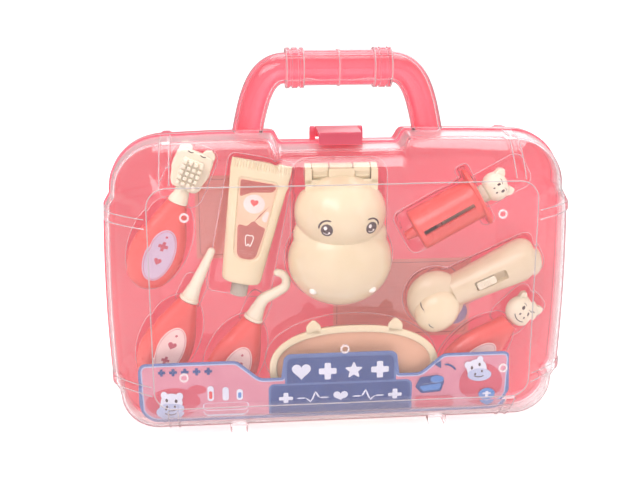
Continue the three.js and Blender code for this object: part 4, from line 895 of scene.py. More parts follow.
def toolPiece(name, skins, finish, place, node=None, body="case", angle=40):
    # One visible piece of several skins in a tool's frame, standing in for a CAD node if one is named
    points, faces = joined(*skins)
    x, y, z = np.asarray(points, dtype=float).T
    across, up = fromTool(place, x, z)
    piece = makePiece(name, (np.stack([across, y - place[3], up], axis=1), faces), finish, body, angle)
    if node:
        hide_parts(node)
    return piece


def domed(way, least=0.0):
    # Quarter circle sqrt(1 - (1 - t)^2) up to t = 1, and 1 beyond it
    return np.sqrt(np.clip(1 - np.clip(1 - way, 0, 1) ** 2, least, 1))


def capped(profile, lift=0.0):
    # A profile of [radius, z] pairs, lifted, with both of its ends run in to the axis
    profile = np.asarray(profile, dtype=float) + (0, lift)
    return np.concatenate([[(0.01, profile[0, 1])], profile, [(0.01, profile[-1, 1])]])


def earSkin(halfWidth, height, thickness, x, z, tilt=0.0, foot=1.0):
    side = [(halfWidth, -halfWidth * foot, 0.3, 2), (halfWidth, height / 2, halfWidth * 0.8, 7)]
    outline = roundedOutline([*side, (0, height, halfWidth / 2, 6), *mirrorOf(side)])
    skin = pillowSkin(outline, -thickness / 2, thickness / 2, min(0.8, thickness * 0.35))
    return moved(turnedAbout(skin, "Y", tilt), x, 0, z)


def buildHead(name, halves, middle, base, earShare, place, node, body, smile=False):
    # A ball, cut flat at its base, with two ears and a plain face of eyes, lids, nostrils and, if asked, a
    # smile
    halfX, halfY, halfZ = halves
    points, faces = moved(ballSkin(*halves), z=middle)
    points[:, 2] = np.maximum(points[:, 2], base)
    ears = [earSkin(halfX * earShare, halfZ * earShare * 2, halfY * 0.7, hand * halfX * 0.62,
                    middle + halfZ * 0.62, hand * 17) for hand in bothHands]
    toolPiece(name + "Finished", [(points, faces), *ears], "ivory", place, node, body)

    def onFace(x, z):
        return -halfY * np.sqrt(np.clip(1 - (x / halfX) ** 2 - ((z - middle) / halfZ) ** 2, 0, None))

    s = halfX / 10
    marks = []
    for hand in bothHands:
        eye, nostril = (hand * 3.1 * s, middle + 2.6 * s), (hand * 1.9 * s, middle - 1.6 * s)
        lid = arcPath((hand * 3.3 * s, middle + 4.4 * s), 1.7 * s, 30, 150, flatten=0.5)
        marks += [decalOn(ovalOutline(0.95 * s, 1.35 * s, 28), eye, onFace, 0.15),
                  strokeOn(lid, 0.4 * s, onFace),
                  decalOn(ovalOutline(0.55 * s, 0.8 * s, 20), nostril, onFace, 0.12)]
    if smile:
        mouth = arcPath((0, middle - 1.4 * s), 5.0 * s, 215, 325, 30, 0.8)
        marks.append(strokeOn(mouth, 0.6 * s, onFace, 0.14))
    toolPiece(name + "Face", marks, "ink", place, None, body)


# Where each tool lies, as in the CAD part: across, up, how far it leans to the right, and how far its middle
# lies in front of the seam between the shells
brushPlace, pickPlace, hookPlace = (-118.005, 88, 23.3, 4), (-115.5, 27.5, 25.5, 4), (-75, 13, 23.5, 4)
gaugePlace, tubePlace, syringePlace = (67, 19, 46.4, 4), (-60.705, 82, 11, 4), (47.5, 119, 61, 4)
lightPlace, jawPlace, dishPlace = (61, 75, 65.7, 4), (1, 0, 0, 6), (9, 37, 0, 0)

# Leaf handles with an oval label on their flat front

leaf = {
    "length": 57, "width": 33, "thickness": 18, "roll": 14, "facet": 0.78, "facetBlur": 0.5, "sides": 64,
    # Share of the length, of the width and of the thickness
    "shares": [(0, 0.4, 0.45), (0.06, 0.6, 0.64), (0.18, 0.84, 0.86), (0.34, 0.99, 1), (0.5, 0.97, 1),
               (0.66, 0.83, 0.93), (0.82, 0.6, 0.8), (1, 0.364, 0.667)],
    "roundShare": 0.1, "labelHalf": (9, 16.5), "labelHeight": 24.5, "labelThickness": 0.35, "labelSink": 0.1,
}
# The rod in a handle's end: its collar as [radius, height] pairs, and the two probes' paths above the handle
rod = {
    "seat": 0.3, "startRadius": 4.0, "endRadius": 2.0, "tipLength": 2.0,
    "collar": [(5.7, 0), (6, 0.3), (6, 1.7), (5.7, 2), (5.2, 2.1), (5.0, 2.6), (5.2, 3.1),
               (4.9, 4.6), (4.2, 9)],
    "pick": [(0, 8), (0, 16), (0, 26), (0, 36)],
    "hook": [(0, 8), (1, 14.4), (6, 20.9), (10, 27.4), (8.5, 31.6), (5.5, 33.4), (0, 32.6)],
}


def leafSkin():
    # Half widths w(t) and thicknesses h(t) along the length, as x = w cos u and y = h sin u cut by the facet
    start = leaf["roundShare"]
    startSteps = start * (1 - np.cos(np.linspace(0.12, math.pi / 2, 10)))
    t = np.concatenate([startSteps, np.linspace(start, 1, 54)[1:]])
    knots, wideShares, thickShares = np.array(leaf["shares"]).T
    dome = domed(t / start)
    wide = smoothCurve(knots, wideShares, t) * dome * leaf["width"] / 2
    thick = smoothCurve(knots, thickShares, t) * dome * leaf["thickness"] / 2
    turn = around(leaf["sides"])
    x, y = wide[:, None] * np.cos(turn), thick[:, None] * np.sin(turn)
    y = -softMin(-y, np.full_like(y, leaf["facet"] * leaf["thickness"] / 2), leaf["facetBlur"])
    z = np.repeat(t[:, None] * leaf["length"], leaf["sides"], axis=1)
    return turnedAbout(skinThrough(np.stack([x, y, z], axis=2)), "Z", leaf["roll"])


def leafTool(name, place, label, motif):
    # The handle, its label, and a generic motif of shapes at their heights, printed on the label
    facet = -leaf["facet"] * leaf["thickness"] / 2 + leaf["labelSink"]
    toolPiece(name + "HandleFinished", [leafSkin()], "coral", place, name + "_handle")
    centre = (0, leaf["labelHeight"])
    oval = ovalOutline(*leaf["labelHalf"], 96)
    plate = decalOn(oval, centre, flatAt(facet), leaf["labelThickness"])
    toolPiece(name + "LabelFinished", [turnedAbout(plate, "Z", leaf["roll"])], label, place, name + "_label")
    front = flatAt(facet - leaf["labelThickness"])
    marks = [strokeOn(inset(oval, 0.9) + centre, 0.35, front, 0.06, True)]
    marks += [decalOn(shape, (0, leaf["labelHeight"] + height), front, 0.08) for shape, height in motif]
    toolPiece(name + "LabelPrint", [turnedAbout(mark, "Z", leaf["roll"]) for mark in marks], "print", place)


def rodTool(name, place):
    # A turned collar, and a round rod that tapers along its path to a rounded tip
    base = leaf["length"] + rod["seat"]
    knots = np.array(rod[name]) + (0, base)
    along = travelled(knots)
    shaft = along[-1] - rod["tipLength"]
    tip = rod["tipLength"] * (1 - np.linspace(0, 1, 12)[1:]) ** 1.5
    at = np.concatenate([np.linspace(0, shaft, 70), along[-1] - tip])
    path = np.stack([smoothCurve(along, knots[:, k], at) for k in (0, 1)], axis=1)
    reach = travelled(path)
    radius = mixed(rod["startRadius"], rod["endRadius"], np.linspace(0, 1, len(path)))
    radius = radius * domed((reach[-1] - reach) / rod["endRadius"], 0.001)
    skins = [turnedSkin(capped(rod["collar"], base)), tubeAlong(path, radius)]
    toolPiece(name + "TipFinished", skins, "ivory", place, name + "_tip")


def buildHandTools():
    dot = ovalOutline(0.8, 0.8, 20)
    crossed = [(plusOutline(3.0, 1.0), 6), (heartOutline(5.0), -4), (dot, 12)]
    hearted = [(heartOutline(5.6), 4), (plusOutline(2.6, 0.9), -6), (dot, 11)]
    starred = [(starOutline(3.4), 5), (heartOutline(5.2), -4)]
    leafTool("toothbrush", brushPlace, "lilac", crossed)
    leafTool("pick", pickPlace, "blush", hearted)
    leafTool("hook", hookPlace, "blush", hearted)
    leafTool("thermometer", gaugePlace, "blush", starred)
    rodTool("pick", pickPlace)
    rodTool("hook", hookPlace)


# Toothbrush head

brushHead = {
    "half": 11.5, "start": 66, "end": 91.5, "thickness": 7, "edge": 1.6,
    "neck": (57.3, 70.5), "neckRadii": (6, 3.4),
    "pad": (6.6, 8.2, 1.8), "padHeight": 4.2, "drop": 1.8,
    "pitch": 3.2, "nub": 2.3, "columns": 4, "rows": 5, "nubHeight": 6.6, "eyeAcross": 3.8, "eyeHeight": 89.4,
}


def buildBrushHead():
    b = brushHead
    half, top, depth = b["half"], b["end"] - 2, b["thickness"] / 2
    side = [(half * 0.7, b["start"], half / 3, 10), (half, b["start"] + half, half, 14),
            (half * 0.95, top, half / 3, 12)]
    paddle = pillowSkin(roundedOutline([*side, *mirrorOf(side)]), -depth, depth, b["edge"], 6)
    low, high = b["neck"]
    z = np.linspace(low, high, 16)
    radii = mixed(*b["neckRadii"], softStep(z, (low + high) / 2, high - low))
    neck = turnedSkin(np.stack([radii, z], axis=1))
    ears = [earSkin(half / 3, half / 3, 4.3, hand * half * 0.62, top, hand * 8) for hand in bothHands]
    toolPiece("brushHeadFinished", [paddle, neck, *ears], "ivory", brushPlace, "toothbrush_head")
    middle = (b["start"] + b["end"]) / 2 - b["drop"]
    pad = moved(pillowSkin(slabOutline(*b["pad"]), -depth - b["padHeight"], -depth + 0.3, 0.3), z=middle)
    square = slabOutline(b["nub"] / 2, b["nub"] / 2, 0.5, 3)
    nub = pillowSkin(square, -depth - 0.3 - b["nubHeight"], -depth, 0.5)
    across, up = ((np.arange(b[key]) - (b[key] - 1) / 2) * b["pitch"] for key in ("columns", "rows"))
    nubs = [moved(nub, x, 0, middle + z) for x in across for z in up]
    toolPiece("bristlesFinished", [pad, *nubs], "ivory", brushPlace, "toothbrush_bristles")
    front, x, z = flatAt(-depth), b["eyeAcross"], b["eyeHeight"]
    marks = []
    for hand in bothHands:
        marks.append(strokeOn(arcPath((hand * x, z), 1.8, 200, 340, flatten=0.6), 0.6, front))
        marks += [strokeOn([(hand * (x + k * 0.9), z - 0.8), (hand * (x + k * 1.3), z - 1.7)], 0.4, front)
                  for k in (-1, 0, 1)]
    toolPiece("brushFace", marks, "ink", brushPlace)


# Toothpaste tube

paste = {
    "capLength": 9, "seat": 0.3, "length": 83, "baseHalf": 12.3, "topHalf": 18, "baseThickness": 19,
    "crimp": 2.4, "crimpLength": 6, "oval": 0.8, "ridge": 1.7, "columns": 216,
    "capRibs": 28, "ribShare": 0.035,
    # The window that is pressed into the front, and how far in front of its floor each layer of print lies
    "windowDepth": 1.1, "windowLow": 0.2, "windowHigh": 4.8, "windowHalves": (0.62, 0.68), "windowBlur": 0.9,
    "sheet": 0.32, "badge": 0.4, "heart": 0.42,
    # The cap's profile: radius, height, and 1 where it is ribbed
    "cap": [(0.01, 0, 0), (4.5, 0, 0), (5.0, 0.25, 0), (5.2, 0.8, 0), (5.2, 1.3, 1), (5.2, 7.6, 1),
            (5.2, 8.1, 0),
            (5.0, 8.8, 0), (4.6, 9, 0), (0.01, 9, 0)],
}
tubeBase, tubeWaist = paste["capLength"] + paste["seat"], paste["capLength"] * 1.5 + paste["seat"]
tubeTop = paste["length"] - paste["crimpLength"]
# Printed shapes, as the corners of their outlines: x, z, radius and steps
tubeArt = {
    "lower": [(5.4, 24.8, 4.6, 8), (8.6, 44.5, 1.5, 5), (4.4, 45.6, 2, 5), (0.8, 48.4, 2, 5),
              (-2.6, 44.2, 2, 5),
              (-8.4, 44.8, 1.5, 5), (-5.4, 24.8, 4.6, 8)],
    "upper": [(10.8, 70.8, 1, 4), (-10.8, 70.8, 1, 4), (-9.8, 60.5, 1, 4), (-4, 64.5, 5, 6),
              (9.6, 66.5, 3, 6)],
    "patch": [(8.6, 47.5, 1, 3), (9.4, 58, 1, 3), (4.6, 49.5, 2, 4)],
}


def tubeHalves(z):
    # Half width and half thickness of the tube at a height
    p = paste
    way = np.clip((z - tubeWaist) / (tubeTop - tubeWaist), 0, 1)
    shoulder = 0.88 + 0.12 * domed((z - tubeBase) / (tubeWaist - tubeBase))
    return (mixed(p["baseHalf"], p["topHalf"], way) * shoulder,
            mixed(p["baseThickness"], p["crimp"], way) / 2 * shoulder)


def windowOutline():
    p = paste
    lowHalf, highHalf = p["baseHalf"] * p["windowHalves"][0], p["topHalf"] * p["windowHalves"][1]
    side = [(lowHalf, mixed(p["capLength"], p["length"], p["windowLow"]), lowHalf * 0.8, 10),
            (highHalf, tubeTop - p["windowHigh"], 1.7, 5)]
    return roundedOutline([*side, *mirrorOf(side)])


def tubeFront(x, z):
    # Front surface y = -b (1 - |x/a|^2.5)^0.4, sunk by the window
    halfX, halfY = tubeHalves(z)
    power = 2 / paste["oval"]
    bulge = halfY * np.clip(1 - np.abs(x / halfX) ** power, 0, 1) ** (1 / power)
    return -bulge + paste["windowDepth"]


def tubeSkin():
    p = paste
    z = np.concatenate([mixed(tubeBase, tubeWaist, np.linspace(0, 1, 8) ** 1.6),
                        np.linspace(tubeWaist + 0.6, tubeTop - 0.4, 84), np.linspace(tubeTop, p["length"], 9)])
    halfX, halfY = (half[:, None] for half in tubeHalves(z))
    unitX, unitY = ovalOutline(1, 1, p["columns"], p["oval"]).T
    x, y = halfX * unitX, halfY * unitY
    grid = np.repeat(z[:, None], p["columns"], axis=1)
    pressed = (grid > tubeTop + 0.2) * (grid < p["length"] - 0.5)
    y = y * (1 - 0.6 * pressed * (0.5 + 0.5 * np.cos(fullTurn * x / p["ridge"])))
    hole = 1 - softStep(distanceTo(windowOutline(), x, grid), 0, p["windowBlur"])
    y = y + np.where(y < 0, hole * p["windowDepth"], 0)
    return skinThrough(np.stack([x, y, grid], axis=2))


def buildTube():
    p = paste
    toolPiece("tubeFinished", [tubeSkin()], "cream", tubePlace, "paste_tube")
    sheet = decalInPlace(inset(windowOutline(), 0.5), tubeFront, 0.3, 14)
    toolPiece("tubeLabelFinished", [sheet], "labelTan", tubePlace, "paste_label")
    lower, upper, patch = (roundedOutline(tubeArt[name]) for name in ("lower", "upper", "patch"))
    onSheet, onBadge = raised(tubeFront, p["sheet"]), raised(tubeFront, p["badge"])
    brown = [decalInPlace(shape, onSheet, 0.05, 10) for shape in (lower, upper)]
    brown.append(strokeOn([(1.2, 47.5), (4.0, 51.5), (8.4, 57.6)], 0.9, onSheet, 0.1))
    toolPiece("tubeArtBrown", brown, "brown", tubePlace)
    pale = [decalOn(ovalOutline(6.4, 5.6, 48), (-0.6, 57.8), onSheet, 0.09, 8),
            decalInPlace(patch, onSheet, 0.06)]
    toolPiece("tubeArtPale", pale, "blush", tubePlace)
    white = [strokeOn(toothOutline(4.6) + (0, 36), 0.55, onBadge, 0.1, True),
             strokeOn([(-4, 29.6), (4, 29.6)], 0.5, onBadge, 0.08),
             strokeOn([(-3, 28.0), (3, 28.0)], 0.4, onBadge, 0.08)]
    toolPiece("tubeArtWhite", white, "glint", tubePlace)
    heart = decalOn(heartOutline(4.8), (-0.6, 58.2), raised(tubeFront, p["heart"]), 0.06)
    toolPiece("tubeArtHeart", [heart], "red", tubePlace)
    turn = around(6 * p["capRibs"])
    rib = 1 - p["ribShare"] * (0.5 + 0.5 * np.cos(p["capRibs"] * turn))
    rings = []
    for radius, height, ribbed in p["cap"]:
        reach = radius * (rib if ribbed else 1)
        x, y = reach * np.cos(turn), reach * np.sin(turn)
        rings.append(np.stack([x, y, np.full(len(turn), height)], axis=1))
    toolPiece("tubeCapFinished", [skinThrough(rings)], "grey", tubePlace, "paste_cap", angle=25)


# Syringe

syringe = {
    "radius": 13, "inner": 11.4, "slotHalf": 1.5, "slotStart": 3.5, "slotEnd": 37.5, "lip": 0.55,
    "pistonBase": 11.48, "headHalf": 9, "headMiddle": 54.7, "headBase": 48.4,
    # Profiles of [radius, height] pairs. The piston's and the plunger's heights start at the piston's base
    "nose": [(2.5, -7), (2.8, -6.6), (3.4, -0.8), (4.2, -0.1), (5.2, 0), (11.0, 0), (12.2, 0.35),
             (12.85, 1.1),
             (13, 1.9), (13, 3.5), (11.4, 3.5), (11.4, 1.6)],
    "collar": [(11.4, 37.5), (13, 37.5), (13, 40.2), (13.5, 41.2), (11.4, 41.2)],
    "piston": [(9.2, 0), (9.6, 0.2), (11.0, 1.9), (11.1, 2.4), (11.1, 3.7), (10.8, 4)],
    "plunger": [(0.01, 4.3), (7.4, 4.3), (7.7, 4.7), (7.7, 5.6), (7.3, 5.9), (5.4, 6.1), (5, 6.8), (5, 31.12),
                (5.2, 32.12), (5.9, 35.72), (6.4, 36.52), (0.01, 36.62)],
    # The oval wing's rings: half width, half depth and height
    "wing": [(11.4, 11.4, 41.0), (18.4, 13.2, 41.0), (19, 13.8, 41.5), (19, 13.8, 43.1), (18.4, 13.2, 43.6),
             (11.4, 11.4, 43.6)],
    "tickStart": 6, "tickEnd": 36, "tickPitch": 1.5, "tickInner": 2.7, "tickOuter": 4.2, "longTick": 5.2,
}


def slottedSkin():
    # A C-shaped section open at the front, carried along Z, with a raised lip along the slot
    s = syringe
    gap = math.asin(s["slotHalf"] / s["radius"])
    low, high = -math.pi / 2, 1.5 * math.pi
    angle = np.linspace(low + gap, high - gap, 72)
    lip = s["lip"] * np.exp(-((np.minimum(angle - low, high - angle) - gap) / 0.09) ** 4)
    arc = np.stack([np.cos(angle), np.sin(angle)], axis=1)
    ring = np.concatenate([(s["radius"] + lip)[:, None] * arc, s["inner"] * arc[::-1]])
    return bandSkin([np.column_stack([ring, np.full(len(ring), z)]) for z in (s["slotStart"], s["slotEnd"])])


def buildSyringe():
    s = syringe
    oval = ovalOutline(1, 1)
    wing = loopSkin([np.column_stack([oval * (x, y), np.full(len(oval), z)]) for x, y, z in s["wing"]])
    barrel = [turnedSkin(capped(s["nose"])), slottedSkin(), turnedLoop(s["collar"]), wing]
    toolPiece("barrelFinished", barrel, "coral", syringePlace, "syringe_barrel")

    def onBarrel(x, z):
        return -np.sqrt(np.clip(s["radius"] ** 2 - x * x, 0, None))

    ticks = []
    for hand in bothHands:
        for k, z in enumerate(np.arange(s["tickStart"], s["tickEnd"], s["tickPitch"])):
            outer = s["longTick"] if k % 5 == 0 else s["tickOuter"]
            ticks.append(strokeOn([(hand * s["tickInner"], z), (hand * outer, z)], 0.34, onBarrel, 0.22))
    toolPiece("barrelTicks", ticks, "blush", syringePlace)
    piston = turnedSkin(capped(s["piston"], s["pistonBase"]))
    toolPiece("pistonFinished", [piston], "seal", syringePlace, "syringe_piston", "plunger")
    plunger = moved(turnedSkin(s["plunger"]), z=s["pistonBase"])
    toolPiece("plungerFinished", [plunger], "ivory", syringePlace, "syringe_plunger", "plunger")
    half = s["headHalf"]
    halves = (half, half * 0.8, half * 0.9)
    buildHead("plungerHead", halves, s["headMiddle"], s["headBase"], 0.32, syringePlace,
              "plunger_head", "plunger")


# Exam light

lamp = {
    "start": 11, "body": 60, "end": 10,
    # The radius at each height, up to the curve's end
    "radii": ([11, 12.6, 35, 57, 61], [10, 10.05, 11.6, 13, 13]), "curveEnd": 60.9,
    "seam": 0.0054, "seamWidth": 0.0012, "roundStart": 57.5, "roundLength": 12.5, "roundPower": 2.6,
    "sides": 180, "slotHalf": 2.75, "slotStart": 25.2, "slotLength": 20, "slotRadius": 1.2,
    "slotFloor": -7.75, "slotBlur": 0.5,
    "button": (2.4, 6.1, 1.2), "buttonMiddle": 32, "buttonFront": -11.9, "buttonBack": -8, "ribPitch": 2.4,
    "headRadius": 18, "headDepth": 10, "capHalves": (13, 9.75, 14.95), "capTilt": -20,
    "capPlace": (5.04, -5.5, -2.16), "nubHalves": (3.2, 3.2, 4.2), "nubPlace": (14.9, -6, -6.5),
    "lids": [((-3.0, -7.2), 225), ((8.5, -7.5), 255)],
    "lashes": [(-1.4, -9.8), (-0.7, -9.3), (10.7, -9.6), (11.3, -8.9)],
}


def capSurface(x, z):
    # Front of the tilted cap, y = y0 - b sqrt(1 - (x'/a)^2 - (z'/c)^2) in its turned frame
    a, b, c = lamp["capHalves"]
    tilt = math.radians(lamp["capTilt"])
    dx, dz = x - lamp["capPlace"][0], z - lamp["capPlace"][2]
    u = dx * math.cos(tilt) - dz * math.sin(tilt)
    v = dx * math.sin(tilt) + dz * math.cos(tilt)
    return lamp["capPlace"][1] - b * np.sqrt(np.clip(1 - (u / a) ** 2 - (v / c) ** 2, 0, None))


def lightBodySkin():
    # A turned body whose radius follows a curve and a rounded end, its front sunk by the switch's slot
    m = lamp
    z = np.concatenate([np.linspace(m["start"], m["body"], 96),
                        m["body"] + m["end"] * np.sin(np.linspace(0, math.pi / 2, 22))[1:]])
    rounding = np.clip((z - m["roundStart"]) / m["roundLength"], 0, 1) ** m["roundPower"]
    straight = smoothCurve(*m["radii"], np.minimum(z, m["curveEnd"]))
    radius = straight * np.sqrt(np.clip(1 - rounding, 0.0004, 1))
    turn = around(m["sides"])
    x, y = radius[:, None] * np.cos(turn), radius[:, None] * np.sin(turn)
    grid = np.repeat(z[:, None], len(turn), axis=1)
    half = m["slotLength"] / 2
    slot = slabOutline(m["slotHalf"], half, m["slotRadius"]) + (0, m["slotStart"] + half)
    hole = 1 - softStep(distanceTo(slot, x, grid), 0, m["slotBlur"])
    y = np.where(y < 0, mixed(y, np.maximum(y, m["slotFloor"]), hole), y)
    # A fine seam where the two halves of the body meet
    seam = m["seam"] * np.exp(-((np.abs(x) / radius[:, None] - 1) / m["seamWidth"]) ** 2)
    return skinThrough(np.stack([x * (1 - seam), y, grid], axis=2))


def buildLight():
    m = lamp
    toolPiece("lightBodyFinished", [lightBodySkin()], "light", lightPlace, "light_body")
    button = pillowSkin(slabOutline(*m["button"]), m["buttonFront"], m["buttonBack"], 0.5)
    rib = pillowSkin(slabOutline(2.2, 0.32, 0.25, 3), m["buttonFront"] - 0.5, m["buttonFront"] + 0.5, 0.2)
    ribs = [moved(rib, z=step * m["ribPitch"]) for step in (-1, 0, 1)]
    switch = [moved(skin, z=m["buttonMiddle"]) for skin in (button, *ribs)]
    toolPiece("lightSwitchFinished", switch, "ivory", lightPlace, "light_switch", "switch_button")
    disc = ballSkin(m["headRadius"], m["headDepth"], m["headRadius"], 72, 40)
    toolPiece("lightHeadFinished", [disc], "light", lightPlace, "light_head")
    egg = moved(turnedAbout(ballSkin(*m["capHalves"], 64, 36), "Y", m["capTilt"]), *m["capPlace"])
    nub = moved(ballSkin(*m["nubHalves"], 28, 16), *m["nubPlace"])
    toolPiece("lightCapFinished", [egg, nub], "cream", lightPlace, "light_cap")
    marks = [strokeOn(arcPath(place, 3.1, start, start + 80, 18), 0.6, capSurface, 0.16)
             for place, start in m["lids"]]
    marks += [strokeOn([(x, z), (x + 0.7, z - 1.1)], 0.4, capSurface, 0.12) for x, z in m["lashes"]]
    toolPiece("lightFace", marks, "ink", lightPlace)


# Jaw model: two hollow halves of a head, hinged at the top

jaw = {
    # Muzzle, brow and cheeks as half ellipsoids: half width, half height and height of the middle
    "forms": [(31.5, 28, 103), (27.5, 24, 133), (28.2, 19, 119)],
    "upperDepths": (25, 27), "lowerDepths": (18, 18), "cheekShare": 0.72, "crease": 0.35,
    "middle": 118, "wall": 2, "gap": 0.15, "sides": 160, "rows": 60,
    "eyeHalf": 3.4, "eyeAcross": 13.2, "eyeShift": 2.8, "eyeHeight": 128, "bumpPlace": (17.5, 88.5),
    "hinge": 157, "knuckle": 5.5, "blockHalf": 21.5, "windowHalf": 17.5, "middleHalf": 7,
    "running": 0.3, "pin": 1.5,
}
teeth = {
    "count": 9, "spacing": 20, "tall": 5, "gum": 3, "room": 1.2, "crown": (2.5, 2.9, 1.2, 5),
    "crownShare": 0.87, "gumShares": (0.985, 0.76), "gumOverrun": 0.05,
}


def jawFront(x, z, depths, wall=0.0):
    # y = -softMax of half ellipsoids: the muzzle below, the brow above, and shallower cheeks between them
    forms = []
    for (halfX, halfZ, height), deep in zip(jaw["forms"], (*depths, jaw["cheekShare"] * min(depths))):
        rest = 1 - (x / (halfX - wall)) ** 2 - ((z - height) / (halfZ - wall)) ** 2
        forms.append((deep - wall) * np.sign(rest) * np.sqrt(np.abs(rest)))
    muzzle, brow, cheek = forms
    return -softMax(softMax(muzzle, brow, jaw["crease"]), cheek, jaw["crease"])


def upperFront(x, z):
    return jawFront(x, z, jaw["upperDepths"])


def jawReach(angle, wall):
    # Distance from the middle to the rim: the largest of the rays to the three ellipses, each the larger
    # root of p t^2 + q t + r = 0
    cos, sin = np.cos(angle), np.sin(angle)
    reach = []
    for halfX, halfZ, height in jaw["forms"]:
        a, b, off = halfX - wall, halfZ - wall, jaw["middle"] - height
        p, q, r = (cos / a) ** 2 + (sin / b) ** 2, 2 * off * sin / b ** 2, (off / b) ** 2 - 1
        reach.append((-q + np.sqrt(np.clip(q * q - 4 * p * r, 0, None))) / (2 * p))
    return np.max(reach, axis=0)


def jawSkin(side, depths):
    # Outer face from its pole to the rim, then the inner face back to its pole, as one closed skin
    turn = around(jaw["sides"])
    way = np.sin(np.linspace(0.02, math.pi / 2, jaw["rows"]))
    way[-1] = 0.99995
    rings = []
    for wall, shares in ((0.0, way), (jaw["wall"], way[::-1])):
        reach = shares[:, None] * jawReach(turn, wall)
        x, z = reach * np.cos(turn), jaw["middle"] + reach * np.sin(turn)
        depth = np.maximum(-jawFront(x, z, depths, wall), jaw["gap"])
        rings.append(np.stack([x, side * depth, z], axis=2))
    return skinThrough(np.concatenate(rings))


def teethSkins(side, deep):
    # Rounded pegs along an arch just inside the muzzle, and the curved gum that they stand on
    t = teeth
    muzzleHalfX, muzzleHalfZ, muzzleHeight = jaw["forms"][0]
    depth = t["tall"] + t["gum"]
    narrow = math.sqrt(1 - (depth / (deep - jaw["wall"])) ** 2)
    halfX, halfZ = ((half - jaw["wall"]) * narrow - t["room"] for half in (muzzleHalfX, muzzleHalfZ))

    def arch(angle, share):
        x, z = halfX * share * np.cos(angle), halfZ * share * np.sin(angle) + muzzleHeight
        return np.stack([x, z], axis=-1)

    angles = (np.arange(t["count"]) - (t["count"] - 1) / 2) * math.radians(t["spacing"]) - math.pi / 2
    peg = pillowSkin(slabOutline(*t["crown"]), *sorted((side * 0.9, side * (t["tall"] + 0.3))), 0.9)
    crowns = []
    for angle in angles:
        x, z = arch(angle, t["crownShare"])
        crowns.append(moved(turnedAbout(peg, "Y", math.degrees(-angle - math.pi / 2)), x, 0, z))
    sweep = np.linspace(angles[0] - t["gumOverrun"], angles[-1] + t["gumOverrun"], 60)
    outer, inner = (arch(sweep, share) for share in t["gumShares"])
    outline = np.concatenate([outer, inner[::-1]])
    return crowns, bandSkin([flatRing(outline, y) for y in sorted((side * t["tall"] * 0.8, side * depth))])


def buildUpperJaw():
    j = jaw
    top, r, half, front = j["hinge"], j["knuckle"], j["blockHalf"], -j["knuckle"] - j["wall"]
    outerSpans, inner = spans(0, j["windowHalf"], half), j["middleHalf"]
    skins = []
    for x0, x1 in ((-inner + j["running"], inner - j["running"]), *outerSpans):
        skins.append(barSkin(r, x0, x1, 0, top, 40, 0.4))
        skins.append(boxSkin(x0, x1, -r, -0.2, top - r, top))
    skins.append(boxSkin(-half, half, front, -r + 0.5, top - 2 * r, top - 0.6 * r))
    for x0, x1 in ((-inner - 0.5, inner + 0.5), *outerSpans):
        skins.append(boxSkin(x0, x1, front, -r + 0.5, top - r, top + 0.6 * r))
    skin = jawSkin(-1, j["upperDepths"])
    toolPiece("upperJawFinished", [skin], "cream", jawPlace, "upper_jaw", "jaw_top", 30)
    bevelled(toolPiece("upperHinge", skins, "cream", jawPlace, None, "jaw_top"), 0.35)


def buildJawFace():
    j = jaw
    e, z = j["eyeHalf"], j["eyeHeight"]
    onEye = raised(upperFront, 0.16)
    dark, pale = [], []
    for hand in bothHands:
        x = j["eyeShift"] + hand * j["eyeAcross"]
        dark.append(decalOn(ovalOutline(e, e * 1.12, 48), (x, z), upperFront, 0.14, 9))
        lash = arcPath((x - hand * 0.4, z + 1.0), e * 1.45, 90 - hand * 95, 90 + hand * 25, 26)
        dark.append(strokeOn(lash, 1.05, upperFront, 0.18))
        pale.append(decalOn(ovalOutline(1.0, 1.25, 24), (x - 0.9, z + 1.3), onEye, 0.06))
        pale.append(decalOn(ovalOutline(0.55, 0.6, 20), (x + 1.3, z - 1.5), onEye, 0.06))
        pale.append(strokeOn(arcPath((x, z), e * 0.72, 215, 320, 16), 0.45, onEye, 0.06))
    toolPiece("jawEyes", dark, "ink", jawPlace, None, "jaw_top")
    toolPiece("jawGlints", pale, "glint", jawPlace, None, "jaw_top")
    across, height = j["bumpPlace"]
    bump = moved(ballSkin(2.6, 2.2, 2.2, 28, 16), y=float(upperFront(across, height)) + 0.7, z=height)
    bumps = [moved(bump, hand * across) for hand in bothHands]
    toolPiece("jawBumps", bumps, "tooth", jawPlace, None, "jaw_top")


def buildLowerJaw():
    j = jaw
    top, r = j["hinge"], j["knuckle"]
    toolPiece("lowerJawFinished", [jawSkin(1, j["lowerDepths"])], "cream", jawPlace, "lower_jaw", "case", 30)
    skins = []
    for x0, x1 in spans(0, j["middleHalf"] + j["running"], j["windowHalf"] - j["running"]):
        skins += [barSkin(r, x0, x1, 0, top, 40, 0.4), boxSkin(x0, x1, 0.2, r, top - r, top)]
        for low in (top - 1.6, top + 0.9):
            skins.append(boxSkin(x0 + 0.8, x1 - 0.8, -r - 0.5, -r + 1.2, low, low + 0.9))
    bevelled(toolPiece("lowerHinge", skins, "cream", jawPlace), 0.3)
    pin = barSkin(j["pin"], -j["blockHalf"], j["blockHalf"], 0, top, 28, 0.2)
    toolPiece("pinFinished", [pin], "steel", jawPlace, "jaw_pin")


def buildTeeth():
    for node, side, depths, body in (("upper_teeth", -1, jaw["upperDepths"], "jaw_top"),
                                     ("lower_teeth", 1, jaw["lowerDepths"], "case")):
        crowns, gum = teethSkins(side, depths[0])
        toolPiece(node + "Finished", crowns, "tooth", jawPlace, node, body)
        toolPiece(node + "Gum", [gum], "gum", jawPlace, None, body)


# Dish

